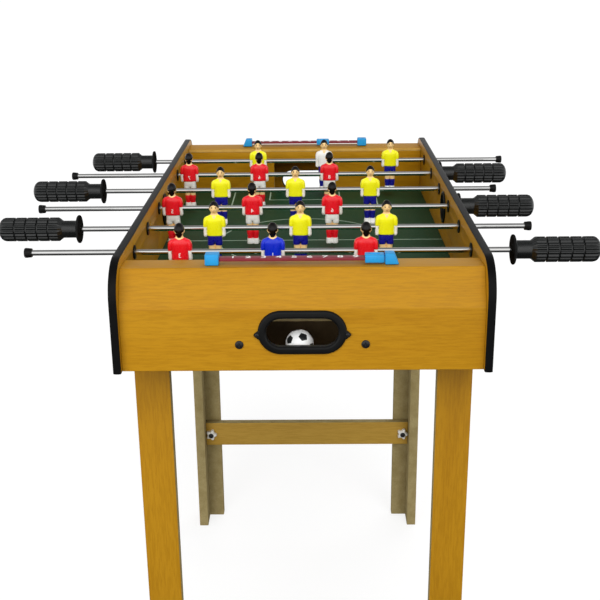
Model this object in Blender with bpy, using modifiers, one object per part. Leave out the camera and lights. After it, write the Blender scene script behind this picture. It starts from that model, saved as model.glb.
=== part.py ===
"""Small foosball table with six rods and eighteen players.

The table stands on the XY plane with +Z up. The rods run along X, and the goals are at the two ends
along Y. Red plays towards +Y and holds its handles at +X, yellow plays towards -Y and holds its
handles at -X. Each rod slides along X and turns about X. Its parts hang under one empty that lies on
the rod's axis. Sizes are in metres.
"""

import math

import bmesh
import bpy
from mathutils import Matrix, Vector

# Clearance between pieces that touch on the real table.
GAP = 0.0003

# Whole table. Heights below are measured from the lower edge of the body.
TABLE_HEIGHT = 0.620
BODY_HEIGHT = 0.110
BODY_LENGTH = 0.700
BODY_WIDTH = 0.370
BODY_BOTTOM = TABLE_HEIGHT - BODY_HEIGHT

# Side panels and the black trim round their edges.
PANEL_THICKNESS = 0.0078
PANEL_INNER = BODY_WIDTH / 2 - PANEL_THICKNESS
CORNER_RADIUS = 0.038
TRIM_THICKNESS = 0.0012
CORNER_STEPS = 8

# Folded end panels: lower face, slanted band, top flap that drops slightly inwards, and a bottom flap
# that is the ball trough.
END_THICKNESS = 0.004
TROUGH_FLOOR = 0.006
END_FACE = 0.3425
END_BOTTOM = 0.0
END_FOLD = 0.0642
END_TOP = 0.100
END_INNER_TOP = 0.0985
END_TOP_OUTER = 0.323
END_HALF_WIDTH = PANEL_INNER - GAP

# Goal walls and playfield.
WALL_INNER = 0.290
WALL_THICKNESS = 0.009
FIELD_TOP = 0.036
FIELD_THICKNESS = 0.004
GOAL_HALF_WIDTH = 0.047
GOAL_TOP = 0.078

# Oval ball return opening in each end panel, and its ring.
RETURN_HEIGHT = 0.040
RETURN_OPENING = (0.0705, 0.029)
RETURN_FLANGE = (0.0855, 0.0455)
RETURN_SLEEVE_WALL = 0.0012
RETURN_FLANGE_THICKNESS = 0.0025
EAR_RADIUS = 0.0055
EAR_CENTRE = 0.0425

# Round ball entry in each side panel, and its ring.
SERVE_HEIGHT = 0.078
SERVE_HOLE = 0.016
SERVE_SLEEVE = 0.0175
SERVE_FLANGE = 0.020
SERVE_FLANGE_THICKNESS = 0.002

# Legs with an L section, and the bar that joins each pair.
LEG_WIDTH = 0.0368
LEG_DEPTH = 0.048
LEG_BOARD = 0.0138
LEG_OUTER_X = PANEL_INNER - 0.0002
LEG_OUTER_Y = {"front": 0.2815, "back": 0.257}
LEG_TOP = 0.031
CROSSBAR_THICKNESS = 0.012
CROSSBAR_HEIGHT = 0.039
CROSSBAR_BOTTOM = 0.1365 - BODY_BOTTOM

# Rods. Each row is the side of the handle, the rod's slide from the middle, and the team.
ROD_HEIGHT = 0.091
ROD_PITCH = 0.0945
ROD_RADIUS = 0.003
ROD_BORE = 0.002
ROD_HOLE = 0.0034
FIT_RADIUS = ROD_RADIUS + GAP
RODS = (
    (+1, -0.031, "red"),
    (-1, -0.003, "yellow"),
    (+1, -0.0625, "red"),
    (-1, -0.011, "yellow"),
    (+1, -0.0625, "red"),
    (-1, +0.029, "yellow"),
)
KEEPER_RODS = {1: "keeper_blue", 6: "keeper_white"}

# Along a rod, measured from its middle player towards the handle.
HANDLE_START = 0.250
HANDLE_END = 0.343
FLANGE_THICKNESS = 0.004
FLANGE_RADIUS = 0.01615
NECK_END = 0.273
NECK_RADIUS = 0.00975
GRIP_RADIUS = 0.0135
GRIP_ROUNDING = 0.0035
BORE_WALL = 0.003
CAP_INNER = -0.2535
CAP_OUTER = -0.2615
CAP_RADIUS = 0.0053
CAP_WALL = 0.002

# Players, with heights measured from the rod's axis.
PLAYER_PITCH = 0.0975
HEAD_TOP = 0.031
SHOULDER = 0.016
SHIRT_BOTTOM = -0.008
SHORTS_BOTTOM = -0.019
BOOT_TOP = -0.038
BOOT_BOTTOM = -0.045
HEAD_RADII = (0.0055, 0.006, 0.0085)
# Torso, shorts, legs and boots: half width, back, front, bottom, top.
BODY_STACK = (
    (0.0135, -0.0060, 0.0060, SHIRT_BOTTOM, SHOULDER),
    (0.0088, -0.0052, 0.0052, SHORTS_BOTTOM, SHIRT_BOTTOM),
    (0.0072, -0.0042, 0.0042, BOOT_TOP, SHORTS_BOTTOM),
    (0.0075, -0.0050, 0.0080, BOOT_BOTTOM, BOOT_TOP),
)
STACK_OVERLAP = 0.001
PLACES = {"left": -PLAYER_PITCH, "middle": 0.0, "right": PLAYER_PITCH}

# Score units on the end panels' top flaps.
SCORE_Y = 0.310
SCORE_HALF_LENGTH = 0.081
SCORE_BAR_DEPTH = 0.0092
SCORE_BAR_HEIGHT = 0.0031
SCORE_BAR_BOTTOM = 0.1037
BLOCK_SIZE = (0.0138, 0.014, 0.0110)
SLIDER_WIDTH = 0.019
SLIDER_DEPTH = 0.0125
SLIDER_BOTTOM = 0.1016
SLIDER_TOP = 0.1095
SLIDER_PLACES = {"front": 0.071, "back": 0.028}

BALL_RADIUS = 0.014
BALL_PLACE = (-0.003, -0.321)

# The frame's origin is under the middle of the table's box with its rods at rest, so the table's own
# middle plane stands to one side of it.
REACH_LEFT = min(slide - HANDLE_END for side, slide, _ in RODS if side < 0)
REACH_RIGHT = max(slide + HANDLE_END for side, slide, _ in RODS if side > 0)
MIDDLE_X = -(REACH_LEFT + REACH_RIGHT) / 2

for old in list(bpy.data.objects):
    bpy.data.objects.remove(old)

parts = bpy.data.collections.new("foosball_table")
cutters = bpy.data.collections.new("cutters")
for collection in (parts, cutters):
    bpy.context.scene.collection.children.link(collection)

# Name: colour, roughness, metallic.
MATERIALS = {
    "wood_laminate": ((0.42, 0.22, 0.045), 0.45, 0.0),
    "black_trim": ((0.012, 0.012, 0.012), 0.40, 0.0),
    "field_green": ((0.014, 0.051, 0.022), 0.55, 0.0),
    "black_plastic": ((0.010, 0.010, 0.010), 0.35, 0.0),
    "chrome": ((0.75, 0.76, 0.78), 0.12, 1.0),
    "red": ((0.65, 0.006, 0.012), 0.35, 0.0),
    "yellow": ((0.85, 0.78, 0.008), 0.35, 0.0),
    "keeper_blue": ((0.008, 0.021, 0.60), 0.35, 0.0),
    "keeper_white": ((0.75, 0.75, 0.75), 0.35, 0.0),
    "score_maroon": ((0.12, 0.006, 0.014), 0.40, 0.0),
    "score_blue": ((0.021, 0.30, 0.80), 0.35, 0.0),
    "ball_white": ((0.80, 0.80, 0.80), 0.35, 0.0),
}


def make_material(name):
    colour, roughness, metallic = MATERIALS[name]
    material = bpy.data.materials.new(name)
    material.use_nodes = True
    shader = material.node_tree.nodes["Principled BSDF"]
    shader.inputs["Base Color"].default_value = (*colour, 1.0)
    shader.inputs["Roughness"].default_value = roughness
    shader.inputs["Metallic"].default_value = metallic
    return material


materials = {name: make_material(name) for name in MATERIALS}


def add_object(name, data, parent=None, material=None, collection=parts):
    obj = bpy.data.objects.new(name, data)
    collection.objects.link(obj)
    obj.parent = parent
    if material:
        data.materials.append(materials[material])
    return obj


def add_empty(name, location, parent=None, rotation=(0, 0, 0)):
    empty = add_object(name, None, parent)
    empty.location = location
    empty.rotation_euler = rotation
    return empty


def box_mesh(name, low, high):
    """A closed box between two corners."""
    low, high = Vector(low), Vector(high)
    mesh = bpy.data.meshes.new(name)
    shape = bmesh.new()
    place = Matrix.Translation((low + high) / 2) @ Matrix.Diagonal((*(high - low), 1))
    bmesh.ops.create_cube(shape, size=1, matrix=place)
    shape.to_mesh(mesh)
    shape.free()
    return mesh


def arc(centre, radius, start, stop, steps):
    """Points on an arc, from angle start to angle stop in degrees."""
    angles = [math.radians(start + (stop - start) * i / steps) for i in range(steps + 1)]
    return [(centre[0] + radius * math.cos(a), centre[1] + radius * math.sin(a)) for a in angles]


def circle(centre, radius, steps):
    return arc(centre, radius, 0, 360, steps)[:-1]


def stadium(centre, width, height, steps=8):
    """An outline with two straight sides and two half circles."""
    shift = (width - height) / 2
    right = arc((centre[0] + shift, centre[1]), height / 2, -90, 90, steps)
    left = arc((centre[0] - shift, centre[1]), height / 2, 90, 270, steps)
    return right + left


def plate(name, outlines, thickness, rotation=(0, 0, 0)):
    """A flat piece as a mesh: the first outline is its edge and the others are its holes."""
    curve = bpy.data.curves.new(name, "CURVE")
    curve.dimensions = "2D"
    curve.fill_mode = "BOTH"
    curve.extrude = thickness / 2
    for outline in outlines:
        spline = curve.splines.new("POLY")
        spline.points.add(len(outline) - 1)
        for point, (x, y) in zip(spline.points, outline):
            point.co = (x, y, 0, 1)
        spline.use_cyclic_u = True
    guide = add_object(name, curve)
    bpy.context.view_layer.update()
    graph = bpy.context.evaluated_depsgraph_get()
    mesh = bpy.data.meshes.new_from_object(guide.evaluated_get(graph))
    bpy.data.objects.remove(guide)
    bpy.data.curves.remove(curve)
    shape = bmesh.new()
    shape.from_mesh(mesh)
    bmesh.ops.remove_doubles(shape, verts=shape.verts, dist=1e-6)
    turn = Matrix.Rotation(rotation[2], 3, "Z") @ Matrix.Rotation(rotation[0], 3, "X")
    bmesh.ops.rotate(shape, verts=shape.verts, cent=(0, 0, 0), matrix=turn)
    bmesh.ops.recalc_face_normals(shape, faces=shape.faces)
    shape.to_mesh(mesh)
    shape.free()
    return mesh


def fuse(name, meshes, holes=()):
    """One mesh made by joining closed meshes and cutting closed meshes out of them."""
    base = add_object(name, meshes[0], collection=cutters)
    tools = [(mesh, "UNION") for mesh in meshes[1:]] + [(mesh, "DIFFERENCE") for mesh in holes]
    helpers = []
    for mesh, operation in tools:
        helper = add_object(name + "_tool", mesh, collection=cutters)
        helper.hide_render = True
        helper.display_type = "WIRE"
        helpers.append(helper)
        modifier = base.modifiers.new(operation.title(), "BOOLEAN")
        modifier.operation = operation
        modifier.object = helper
    bpy.context.view_layer.update()
    graph = bpy.context.evaluated_depsgraph_get()
    joined = bpy.data.meshes.new_from_object(base.evaluated_get(graph))
    for helper in [base, *helpers]:
        bpy.data.objects.remove(helper)
    return joined


def turned(name, profile, material, parent, steps=16, closed=False, **place):
    """A piece turned about its local Z. The profile holds (radius, height) pairs and runs down the
    outer side."""
    mesh = bpy.data.meshes.new(name)
    edges = [(i, i + 1) for i in range(len(profile) - 1)]
    if closed:
        edges.append((len(profile) - 1, 0))
    mesh.from_pydata([(r, 0, z) for r, z in profile], edges, [])
    obj = add_object(name, mesh, parent, material)
    screw = obj.modifiers.new("Turn", "SCREW")
    screw.axis = "Z"
    screw.steps = steps
    screw.render_steps = steps
    screw.use_merge_vertices = True
    screw.merge_threshold = 0.00001
    screw.use_smooth_shade = True
    obj.location = place.get("location", (0, 0, 0))
    obj.rotation_euler = place.get("rotation", (0, 0, 0))
    return obj


# A plate drawn in (Y, Z) and thick along X, and one drawn in (X, Z) and thick along Y.
FACING_X = (math.pi / 2, 0, math.pi / 2)
FACING_Y = (math.pi / 2, 0, 0)


def rod_y(number):
    return (number - (len(RODS) + 1) / 2) * ROD_PITCH


def panel_outline(inset):
    """Side of the table in (Y, Z), with its two upper corners rounded."""
    half = BODY_LENGTH / 2
    bend = half - CORNER_RADIUS
    top = BODY_HEIGHT - CORNER_RADIUS
    radius = CORNER_RADIUS - inset
    back = arc((bend, top), radius, 0, 90, CORNER_STEPS)
    front = arc((-bend, top), radius, 90, 180, CORNER_STEPS)
    return [(half - inset, inset)] + back + front + [(inset - half, inset)]


def make_side(label, side, table):
    """Side panel with its rod holes and ball entry, its edge trim, and the ball entry's ring."""
    centre = side * (BODY_WIDTH / 2 - PANEL_THICKNESS / 2)
    outer = panel_outline(0)
    trim = plate("edge_trim", [outer, panel_outline(TRIM_THICKNESS)], PANEL_THICKNESS, FACING_X)
    add_object(f"edge_trim_{label}", trim, table, "black_trim").location.x = centre
    holes = [circle((rod_y(n + 1), ROD_HEIGHT), ROD_HOLE, 12) for n in range(len(RODS))]
    holes.append(circle((0, SERVE_HEIGHT), SERVE_SLEEVE + GAP, 24))
    outlines = [panel_outline(TRIM_THICKNESS + GAP), *holes]
    panel = plate("side_panel", outlines, PANEL_THICKNESS, FACING_X)
    add_object(f"side_panel_{label}", panel, table, "wood_laminate").location.x = centre

    seat = PANEL_THICKNESS / 2 + GAP
    face = seat + SERVE_FLANGE_THICKNESS
    profile = [
        (SERVE_HOLE, face),
        (SERVE_FLANGE, face),
        (SERVE_FLANGE, seat),
        (SERVE_SLEEVE, seat),
        (SERVE_SLEEVE, -seat),
        (SERVE_FLANGE, -seat),
        (SERVE_FLANGE, -face),
        (SERVE_HOLE, -face),
    ]
    place = {"location": (centre, 0, SERVE_HEIGHT), "rotation": (0, math.pi / 2, 0)}
    turned(f"serve_ring_{label}", profile, "black_plastic", table, 24, closed=True, **place)


def folded_section(end):
    """Section of an end panel in (Y, Z): a board folded at three places, for the front (-1) or the
    back (+1)."""
    slope = Vector((END_FACE - END_TOP_OUTER, END_FOLD - END_TOP)).normalized()
    # How far each inner corner of the slanted band shifts along its neighbour.
    fold_drop = END_THICKNESS * (1 + slope.y) / slope.x
    top_shift = END_THICKNESS * (1 - slope.x) / -slope.y
    outer = [
        (WALL_INNER, END_INNER_TOP),
        (END_TOP_OUTER, END_TOP),
        (END_FACE, END_FOLD),
        (END_FACE, END_BOTTOM),
        (WALL_INNER + WALL_THICKNESS + GAP, END_BOTTOM),
    ]
    inner = [
        (WALL_INNER + WALL_THICKNESS + GAP, TROUGH_FLOOR),
        (END_FACE - END_THICKNESS, TROUGH_FLOOR),
        (END_FACE - END_THICKNESS, END_FOLD - fold_drop),
        (END_TOP_OUTER - top_shift, END_TOP - END_THICKNESS),
        (WALL_INNER, END_INNER_TOP - END_THICKNESS),
    ]
    return [(end * y, z) for y, z in outer + inner]


def make_end(label, end, table):
    """End panel, ball return ring and goal wall."""
    width, height = RETURN_OPENING
    margin = 2 * RETURN_SLEEVE_WALL
    centre = (0, RETURN_HEIGHT)
    opening = stadium(centre, width, height)
    sleeve = stadium(centre, width + margin, height + margin)
    cut = stadium(centre, width + margin + 2 * GAP, height + margin + 2 * GAP)

    board = plate("board", [folded_section(end)], 2 * END_HALF_WIDTH, FACING_X)
    hole = plate("hole", [cut], 3 * END_THICKNESS, FACING_Y)
    hole.transform(Matrix.Translation((0, end * END_FACE, 0)))
    add_object(f"end_panel_{label}", fuse("end_panel", [board], [hole]), table, "wood_laminate")

    face = END_FACE + GAP
    thick = RETURN_FLANGE_THICKNESS
    depth = END_THICKNESS + thick
    outlines = [stadium(centre, *RETURN_FLANGE)]
    outlines += [circle((side * EAR_CENTRE, RETURN_HEIGHT), EAR_RADIUS, 12) for side in (-1, 1)]
    flange = [plate("flange", [outline], thick, FACING_Y) for outline in outlines]
    for mesh in flange:
        mesh.transform(Matrix.Translation((0, end * (face + thick / 2), 0)))
    tube = plate("sleeve", [sleeve], depth, FACING_Y)
    tube.transform(Matrix.Translation((0, end * (face + thick - depth / 2), 0)))
    bore = plate("bore", [opening], 3 * depth, FACING_Y)
    bore.transform(Matrix.Translation((0, end * face, 0)))
    ring = fuse("return_ring", [*flange, tube], [bore])
    add_object(f"return_ring_{label}", ring, table, "black_plastic")

    half = END_HALF_WIDTH
    top = END_INNER_TOP - END_THICKNESS - GAP
    edge = [(-half, 0), (half, 0), (half, top), (-half, top)]
    sill = FIELD_TOP - GAP
    goal = [
        (-GOAL_HALF_WIDTH, sill),
        (GOAL_HALF_WIDTH, sill),
        (GOAL_HALF_WIDTH, GOAL_TOP),
        (-GOAL_HALF_WIDTH, GOAL_TOP),
    ]
    board = plate("goal_wall", [edge, goal], WALL_THICKNESS, FACING_Y)
    wall = add_object(f"goal_wall_{label}", board, table, "wood_laminate")
    wall.location.y = end * (WALL_INNER + WALL_THICKNESS / 2)


def make_legs(table):
    """Four L-section legs, and a crossbar inside each pair."""
    for front_back, end in (("front", -1), ("back", 1)):
        for label, side in (("left", -1), ("right", 1)):
            x, y = side * LEG_OUTER_X, end * LEG_OUTER_Y[front_back]
            section = [
                (x, y),
                (x - side * LEG_WIDTH, y),
                (x - side * LEG_WIDTH, y - end * LEG_BOARD),
                (x - side * LEG_BOARD, y - end * LEG_BOARD),
                (x - side * LEG_BOARD, y - end * LEG_DEPTH),
                (x, y - end * LEG_DEPTH),
            ]
            length = LEG_TOP + BODY_BOTTOM
            leg = plate("leg", [section], length)
            leg.transform(Matrix.Translation((0, 0, LEG_TOP - length / 2)))
            add_object(f"leg_{front_back}_{label}", leg, table, "wood_laminate")
        half = LEG_OUTER_X - LEG_BOARD - GAP
        near = end * (LEG_OUTER_Y[front_back] - LEG_BOARD - GAP)
        far = near - end * CROSSBAR_THICKNESS
        low = (-half, min(near, far), CROSSBAR_BOTTOM)
        high = (half, max(near, far), CROSSBAR_BOTTOM + CROSSBAR_HEIGHT)
        add_object(f"crossbar_{front_back}", box_mesh("crossbar", low, high), table, "wood_laminate")


def make_playfield(table):
    edge = WALL_INNER - GAP
    low = (-END_HALF_WIDTH, -edge, FIELD_TOP - FIELD_THICKNESS)
    high = (END_HALF_WIDTH, edge, FIELD_TOP)
    add_object("playfield", box_mesh("playfield", low, high), table, "field_green")


def make_score_unit(label, end, table):
    """Score rail with its two end blocks, and the slider that straddles it."""
    y = end * SCORE_Y
    half_bar = SCORE_BAR_DEPTH / 2
    top = SCORE_BAR_BOTTOM + SCORE_BAR_HEIGHT
    bar_low = (-SCORE_HALF_LENGTH, y - half_bar, SCORE_BAR_BOTTOM)
    bar_high = (SCORE_HALF_LENGTH, y + half_bar, top)
    width, depth, height = BLOCK_SIZE
    # The flap rises slightly outwards, and a block stands on it at its outer edge.
    rise = (END_TOP - END_INNER_TOP) / (END_TOP_OUTER - WALL_INNER)
    seat = END_INNER_TOP + rise * (SCORE_Y + depth / 2 - WALL_INNER) + GAP
    overlap = width / 4
    shapes = [box_mesh("bar", bar_low, bar_high)]
    for side in (-1, 1):
        ends = sorted((side * SCORE_HALF_LENGTH, side * (SCORE_HALF_LENGTH + width)))
        low = (ends[0], y - depth / 2, seat)
        high = (ends[1], y + depth / 2, seat + height)
        shapes.append(box_mesh("block", low, high))
    shapes[0].transform(
        Matrix.Diagonal(((SCORE_HALF_LENGTH + overlap) / SCORE_HALF_LENGTH, 1, 1, 1))
    )
    add_object(f"score_rail_{label}", fuse("score_rail", shapes), table, "score_maroon")

    low = (-SLIDER_WIDTH / 2, -SLIDER_DEPTH / 2, SLIDER_BOTTOM)
    high = (SLIDER_WIDTH / 2, SLIDER_DEPTH / 2, SLIDER_TOP)
    play = half_bar + GAP
    groove = box_mesh("groove", (-SLIDER_WIDTH, -play, 0), (SLIDER_WIDTH, play, top + GAP))
    body = fuse("slider", [box_mesh("body", low, high)], [groove])
    slider = add_object(f"score_slider_{label}", body, table, "score_blue")
    slider.location = (SLIDER_PLACES[label], y, 0)


def player_mesh():
    """Player with its feet down, facing +Y, and a hole for the rod along X."""
    shapes = []
    for half_width, back, front, bottom, top in BODY_STACK:
        low, high = (-half_width, back, bottom), (half_width, front, top + STACK_OVERLAP)
        shapes.append(box_mesh("block", low, high))
    head = bpy.data.meshes.new("head")
    shape = bmesh.new()
    place = Matrix.Translation((0, 0, HEAD_TOP - HEAD_RADII[2])) @ Matrix.Diagonal((*HEAD_RADII, 1))
    bmesh.ops.create_uvsphere(shape, u_segments=10, v_segments=6, radius=1, matrix=place)
    shape.to_mesh(head)
    shape.free()
    bore = plate("bore", [circle((0, 0), FIT_RADIUS, 12)], 0.040, FACING_X)
    return fuse("player", [*shapes, head], [bore])


def make_rod(number, table, player):
    """Rod, handle, end cap and three players under one empty on the rod's axis."""
    side, slide, team = RODS[number - 1]
    axis = add_empty(f"rod_axis_{number}", (slide, rod_y(number), ROD_HEIGHT), table)
    # Turned pieces lie along local Z, which points from the middle player to the handle.
    turn = (0, side * math.pi / 2, 0)

    low, high = CAP_OUTER + CAP_WALL + GAP, HANDLE_END - BORE_WALL - GAP
    tube = [(ROD_RADIUS, high), (ROD_RADIUS, low), (ROD_BORE, low), (ROD_BORE, high)]
    turned(f"rod_{number}", tube, "chrome", axis, 12, closed=True, rotation=turn)

    handle = [
        (0, HANDLE_END),
        (GRIP_RADIUS - GRIP_ROUNDING, HANDLE_END),
        (GRIP_RADIUS - 0.001, HANDLE_END - GRIP_ROUNDING / 3),
        (GRIP_RADIUS, HANDLE_END - GRIP_ROUNDING),
        (GRIP_RADIUS, NECK_END + 0.002),
        (NECK_RADIUS, NECK_END),
        (NECK_RADIUS, HANDLE_START + FLANGE_THICKNESS),
        (FLANGE_RADIUS, HANDLE_START + FLANGE_THICKNESS),
        (FLANGE_RADIUS, HANDLE_START),
        (FIT_RADIUS, HANDLE_START),
        (FIT_RADIUS, HANDLE_END - BORE_WALL),
        (0, HANDLE_END - BORE_WALL),
    ]
    turned(f"handle_{number}", handle, "black_plastic", axis, 12, rotation=turn)

    cap = [
        (0, CAP_OUTER + CAP_WALL),
        (FIT_RADIUS, CAP_OUTER + CAP_WALL),
        (FIT_RADIUS, CAP_INNER),
        (CAP_RADIUS, CAP_INNER),
        (CAP_RADIUS, CAP_OUTER + 0.001),
        (CAP_RADIUS - 0.001, CAP_OUTER),
        (0, CAP_OUTER),
    ]
    turned(f"end_cap_{number}", cap, "black_plastic", axis, 12, rotation=turn)

    for place, x in PLACES.items():
        dress = KEEPER_RODS.get(number, team) if place == "middle" else team
        figure = add_object(f"player_{number}_{place}", player.copy(), axis, dress)
        figure.location.x = x
        # Yellow players face the other way.
        figure.rotation_euler.z = 0 if team == "red" else math.pi


def make_ball(table):
    mesh = bpy.data.meshes.new("ball")
    shape = bmesh.new()
    bmesh.ops.create_uvsphere(shape, u_segments=16, v_segments=10, radius=BALL_RADIUS)
    shape.to_mesh(mesh)
    shape.free()
    mesh.shade_smooth()
    ball = add_object("ball", mesh, table, "ball_white")
    ball.location = (*BALL_PLACE, TROUGH_FLOOR + BALL_RADIUS + GAP)


def main():
    table = add_empty("table", (MIDDLE_X, 0, BODY_BOTTOM))
    make_side("left", -1, table)
    make_side("right", 1, table)
    for label, end in (("front", -1), ("back", 1)):
        make_end(label, end, table)
        make_score_unit(label, end, table)
    make_playfield(table)
    make_legs(table)
    player = player_mesh()
    for number in range(1, len(RODS) + 1):
        make_rod(number, table, player)
    make_ball(table)


main()
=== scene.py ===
"""Looks of the small foosball table: its visible surfaces, the floor, the light and the camera.

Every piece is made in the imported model's own frame, in metres: the rods run along X, the goals are at
the two ends along Y, and +Z is up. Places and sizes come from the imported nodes' boxes. Details that the
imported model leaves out, such as a bushing's flange, have their own named sizes here.
"""

import math

import bmesh
import bpy
from mathutils import Matrix, Vector


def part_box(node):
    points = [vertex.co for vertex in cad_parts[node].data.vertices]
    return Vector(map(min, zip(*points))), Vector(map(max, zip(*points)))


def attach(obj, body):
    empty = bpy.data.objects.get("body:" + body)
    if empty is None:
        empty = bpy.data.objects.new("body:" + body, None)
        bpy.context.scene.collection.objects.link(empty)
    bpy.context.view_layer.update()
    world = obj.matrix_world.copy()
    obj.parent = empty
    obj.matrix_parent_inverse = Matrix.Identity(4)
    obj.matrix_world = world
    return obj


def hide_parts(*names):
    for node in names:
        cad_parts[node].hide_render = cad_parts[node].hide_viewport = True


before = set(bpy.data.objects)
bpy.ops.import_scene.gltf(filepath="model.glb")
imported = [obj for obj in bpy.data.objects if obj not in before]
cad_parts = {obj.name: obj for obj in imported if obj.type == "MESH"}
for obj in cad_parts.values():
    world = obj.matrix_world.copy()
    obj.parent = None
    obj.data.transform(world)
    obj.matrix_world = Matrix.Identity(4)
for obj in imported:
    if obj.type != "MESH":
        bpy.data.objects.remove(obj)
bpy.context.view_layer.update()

MM = 0.001
# Points this near to each other are one point: in a shape, in a flat plate and in a player.
SHAPE_WELD = 1e-7
PLATE_WELD = 1e-6
PLAYER_WELD = 1e-8
# Height of a digit as a share of the font's size.
CAPITAL_SHARE = 0.7
# Angles between faces, in degrees, that are shaded as an edge.
SHARP_BOARD = 35
SHARP_MOULDING = 30
SHARP_TURNED = 40
SHARP_PLAYER = 50
SHARP_BALL = 60
TURN_TO_X = Matrix.Rotation(math.pi / 2, 4, "Y")
TABLE = "table"
SIDES = (("left", -1), ("right", 1))
ENDS = (("front", -1), ("back", 1))
RODS = range(1, 7)
RED_RODS = (1, 3, 5)
KEEPERS = {1: "keeper_blue", 6: "keeper_white"}
PLACES = ("left", "middle", "right")

FIELD_LOW, FIELD_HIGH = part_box("playfield")
MIDDLE_X = (FIELD_LOW.x + FIELD_HIGH.x) / 2
BODY_LOW, BODY_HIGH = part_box("edge_trim_left")
BASE = BODY_LOW.z


# ---------------------------------------------------------------- outlines and shapes


def arc(centre, radius, start, stop, steps):
    """Points on an arc, from angle start to angle stop in degrees."""
    angles = [math.radians(start + (stop - start) * i / steps) for i in range(steps + 1)]
    return [(centre[0] + radius * math.cos(a), centre[1] + radius * math.sin(a)) for a in angles]


def circle(centre, radius, steps):
    return arc(centre, radius, 0, 360, steps)[:-1]


def stadium(centre, width, height, steps=20):
    """An outline with two straight sides and two half circles."""
    shift = (width - height) / 2
    right = arc((centre[0] + shift, centre[1]), height / 2, -90, 90, steps)
    left = arc((centre[0] - shift, centre[1]), height / 2, 90, 270, steps)
    return right + left


def rectangle(low, high):
    return [(low[0], low[1]), (high[0], low[1]), (high[0], high[1]), (low[0], high[1])]


def rounded(points, radius, steps=4, closed=True):
    """The outline with its corners rounded. radius is one size, or one for each point."""
    radii = radius if isinstance(radius, (list, tuple)) else [radius] * len(points)
    made = []
    for i, (point, size) in enumerate(zip(points, radii)):
        at_end = not closed and i in (0, len(points) - 1)
        if at_end or size <= 0:
            made.append(tuple(point))
            continue
        here = Vector(point)
        before = Vector(points[i - 1]) - here
        after = Vector(points[(i + 1) % len(points)]) - here
        start = here + before.normalized() * min(size, before.length * 0.49)
        stop = here + after.normalized() * min(size, after.length * 0.49)
        for k in range(steps + 1):
            t = k / steps
            made.append(tuple(start * (1 - t) ** 2 + here * 2 * t * (1 - t) + stop * t * t))
    return made


def smooth_rows(rows, steps):
    """Rows of numbers with a smooth curve through them: steps rows for each gap between two."""
    rows = [Vector(row) for row in rows]
    padded = [rows[0] * 2 - rows[1], *rows, rows[-1] * 2 - rows[-2]]
    made = []
    for a, b, c, d in zip(padded, padded[1:], padded[2:], padded[3:]):
        for k in range(steps):
            t = k / steps
            bend = (c - a) * t + (a * 2 - b * 5 + c * 4 - d) * t * t + (b * 3 - a - c * 3 + d) * t**3
            made.append(b + bend / 2)
    made.append(rows[-1])
    return made


def between(pairs, at):
    """Value at a place on a line of (place, value) pairs, eased at each pair."""
    for (low, first), (high, second) in zip(pairs, pairs[1:]):
        if at <= high:
            t = max(0.0, (at - low) / (high - low))
            return first + (second - first) * t * t * (3 - 2 * t)
    return pairs[-1][1]


def oval(height, centre, radii, power=2.0, count=24):
    """A ring in a level plane: an ellipse at power 2, and squarer above it."""
    ring = []
    for i in range(count):
        angle = 2 * math.pi * i / count
        across = abs(math.cos(angle)) ** (2 / power) * math.copysign(1, math.cos(angle))
        deep = abs(math.sin(angle)) ** (2 / power) * math.copysign(1, math.sin(angle))
        ring.append(Vector((centre[0] + radii[0] * across, centre[1] + radii[1] * deep, height)))
    return ring


def spun(profile, count=32, stretch=0.0, shaped=None):
    """Rings round Z, one for each (radius, height) of the profile. stretch draws them out along X
    into ovals with straight sides. shaped gives the radius at a point, from the ring's radius, its
    height and the point's number."""
    unit = circle((0, 0), 1, count)
    rings = []
    for radius, height in profile:
        radii = [shaped(radius, height, i) if shaped else radius for i in range(count)]
        points = [(x * r, y * r) for (x, y), r in zip(unit, radii)]
        if stretch:
            points = stadium((0, 0), 2 * (radius + stretch), 2 * radius, count // 2)
        rings.append([Vector((x, y, height)) for x, y in points])
    return rings


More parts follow.
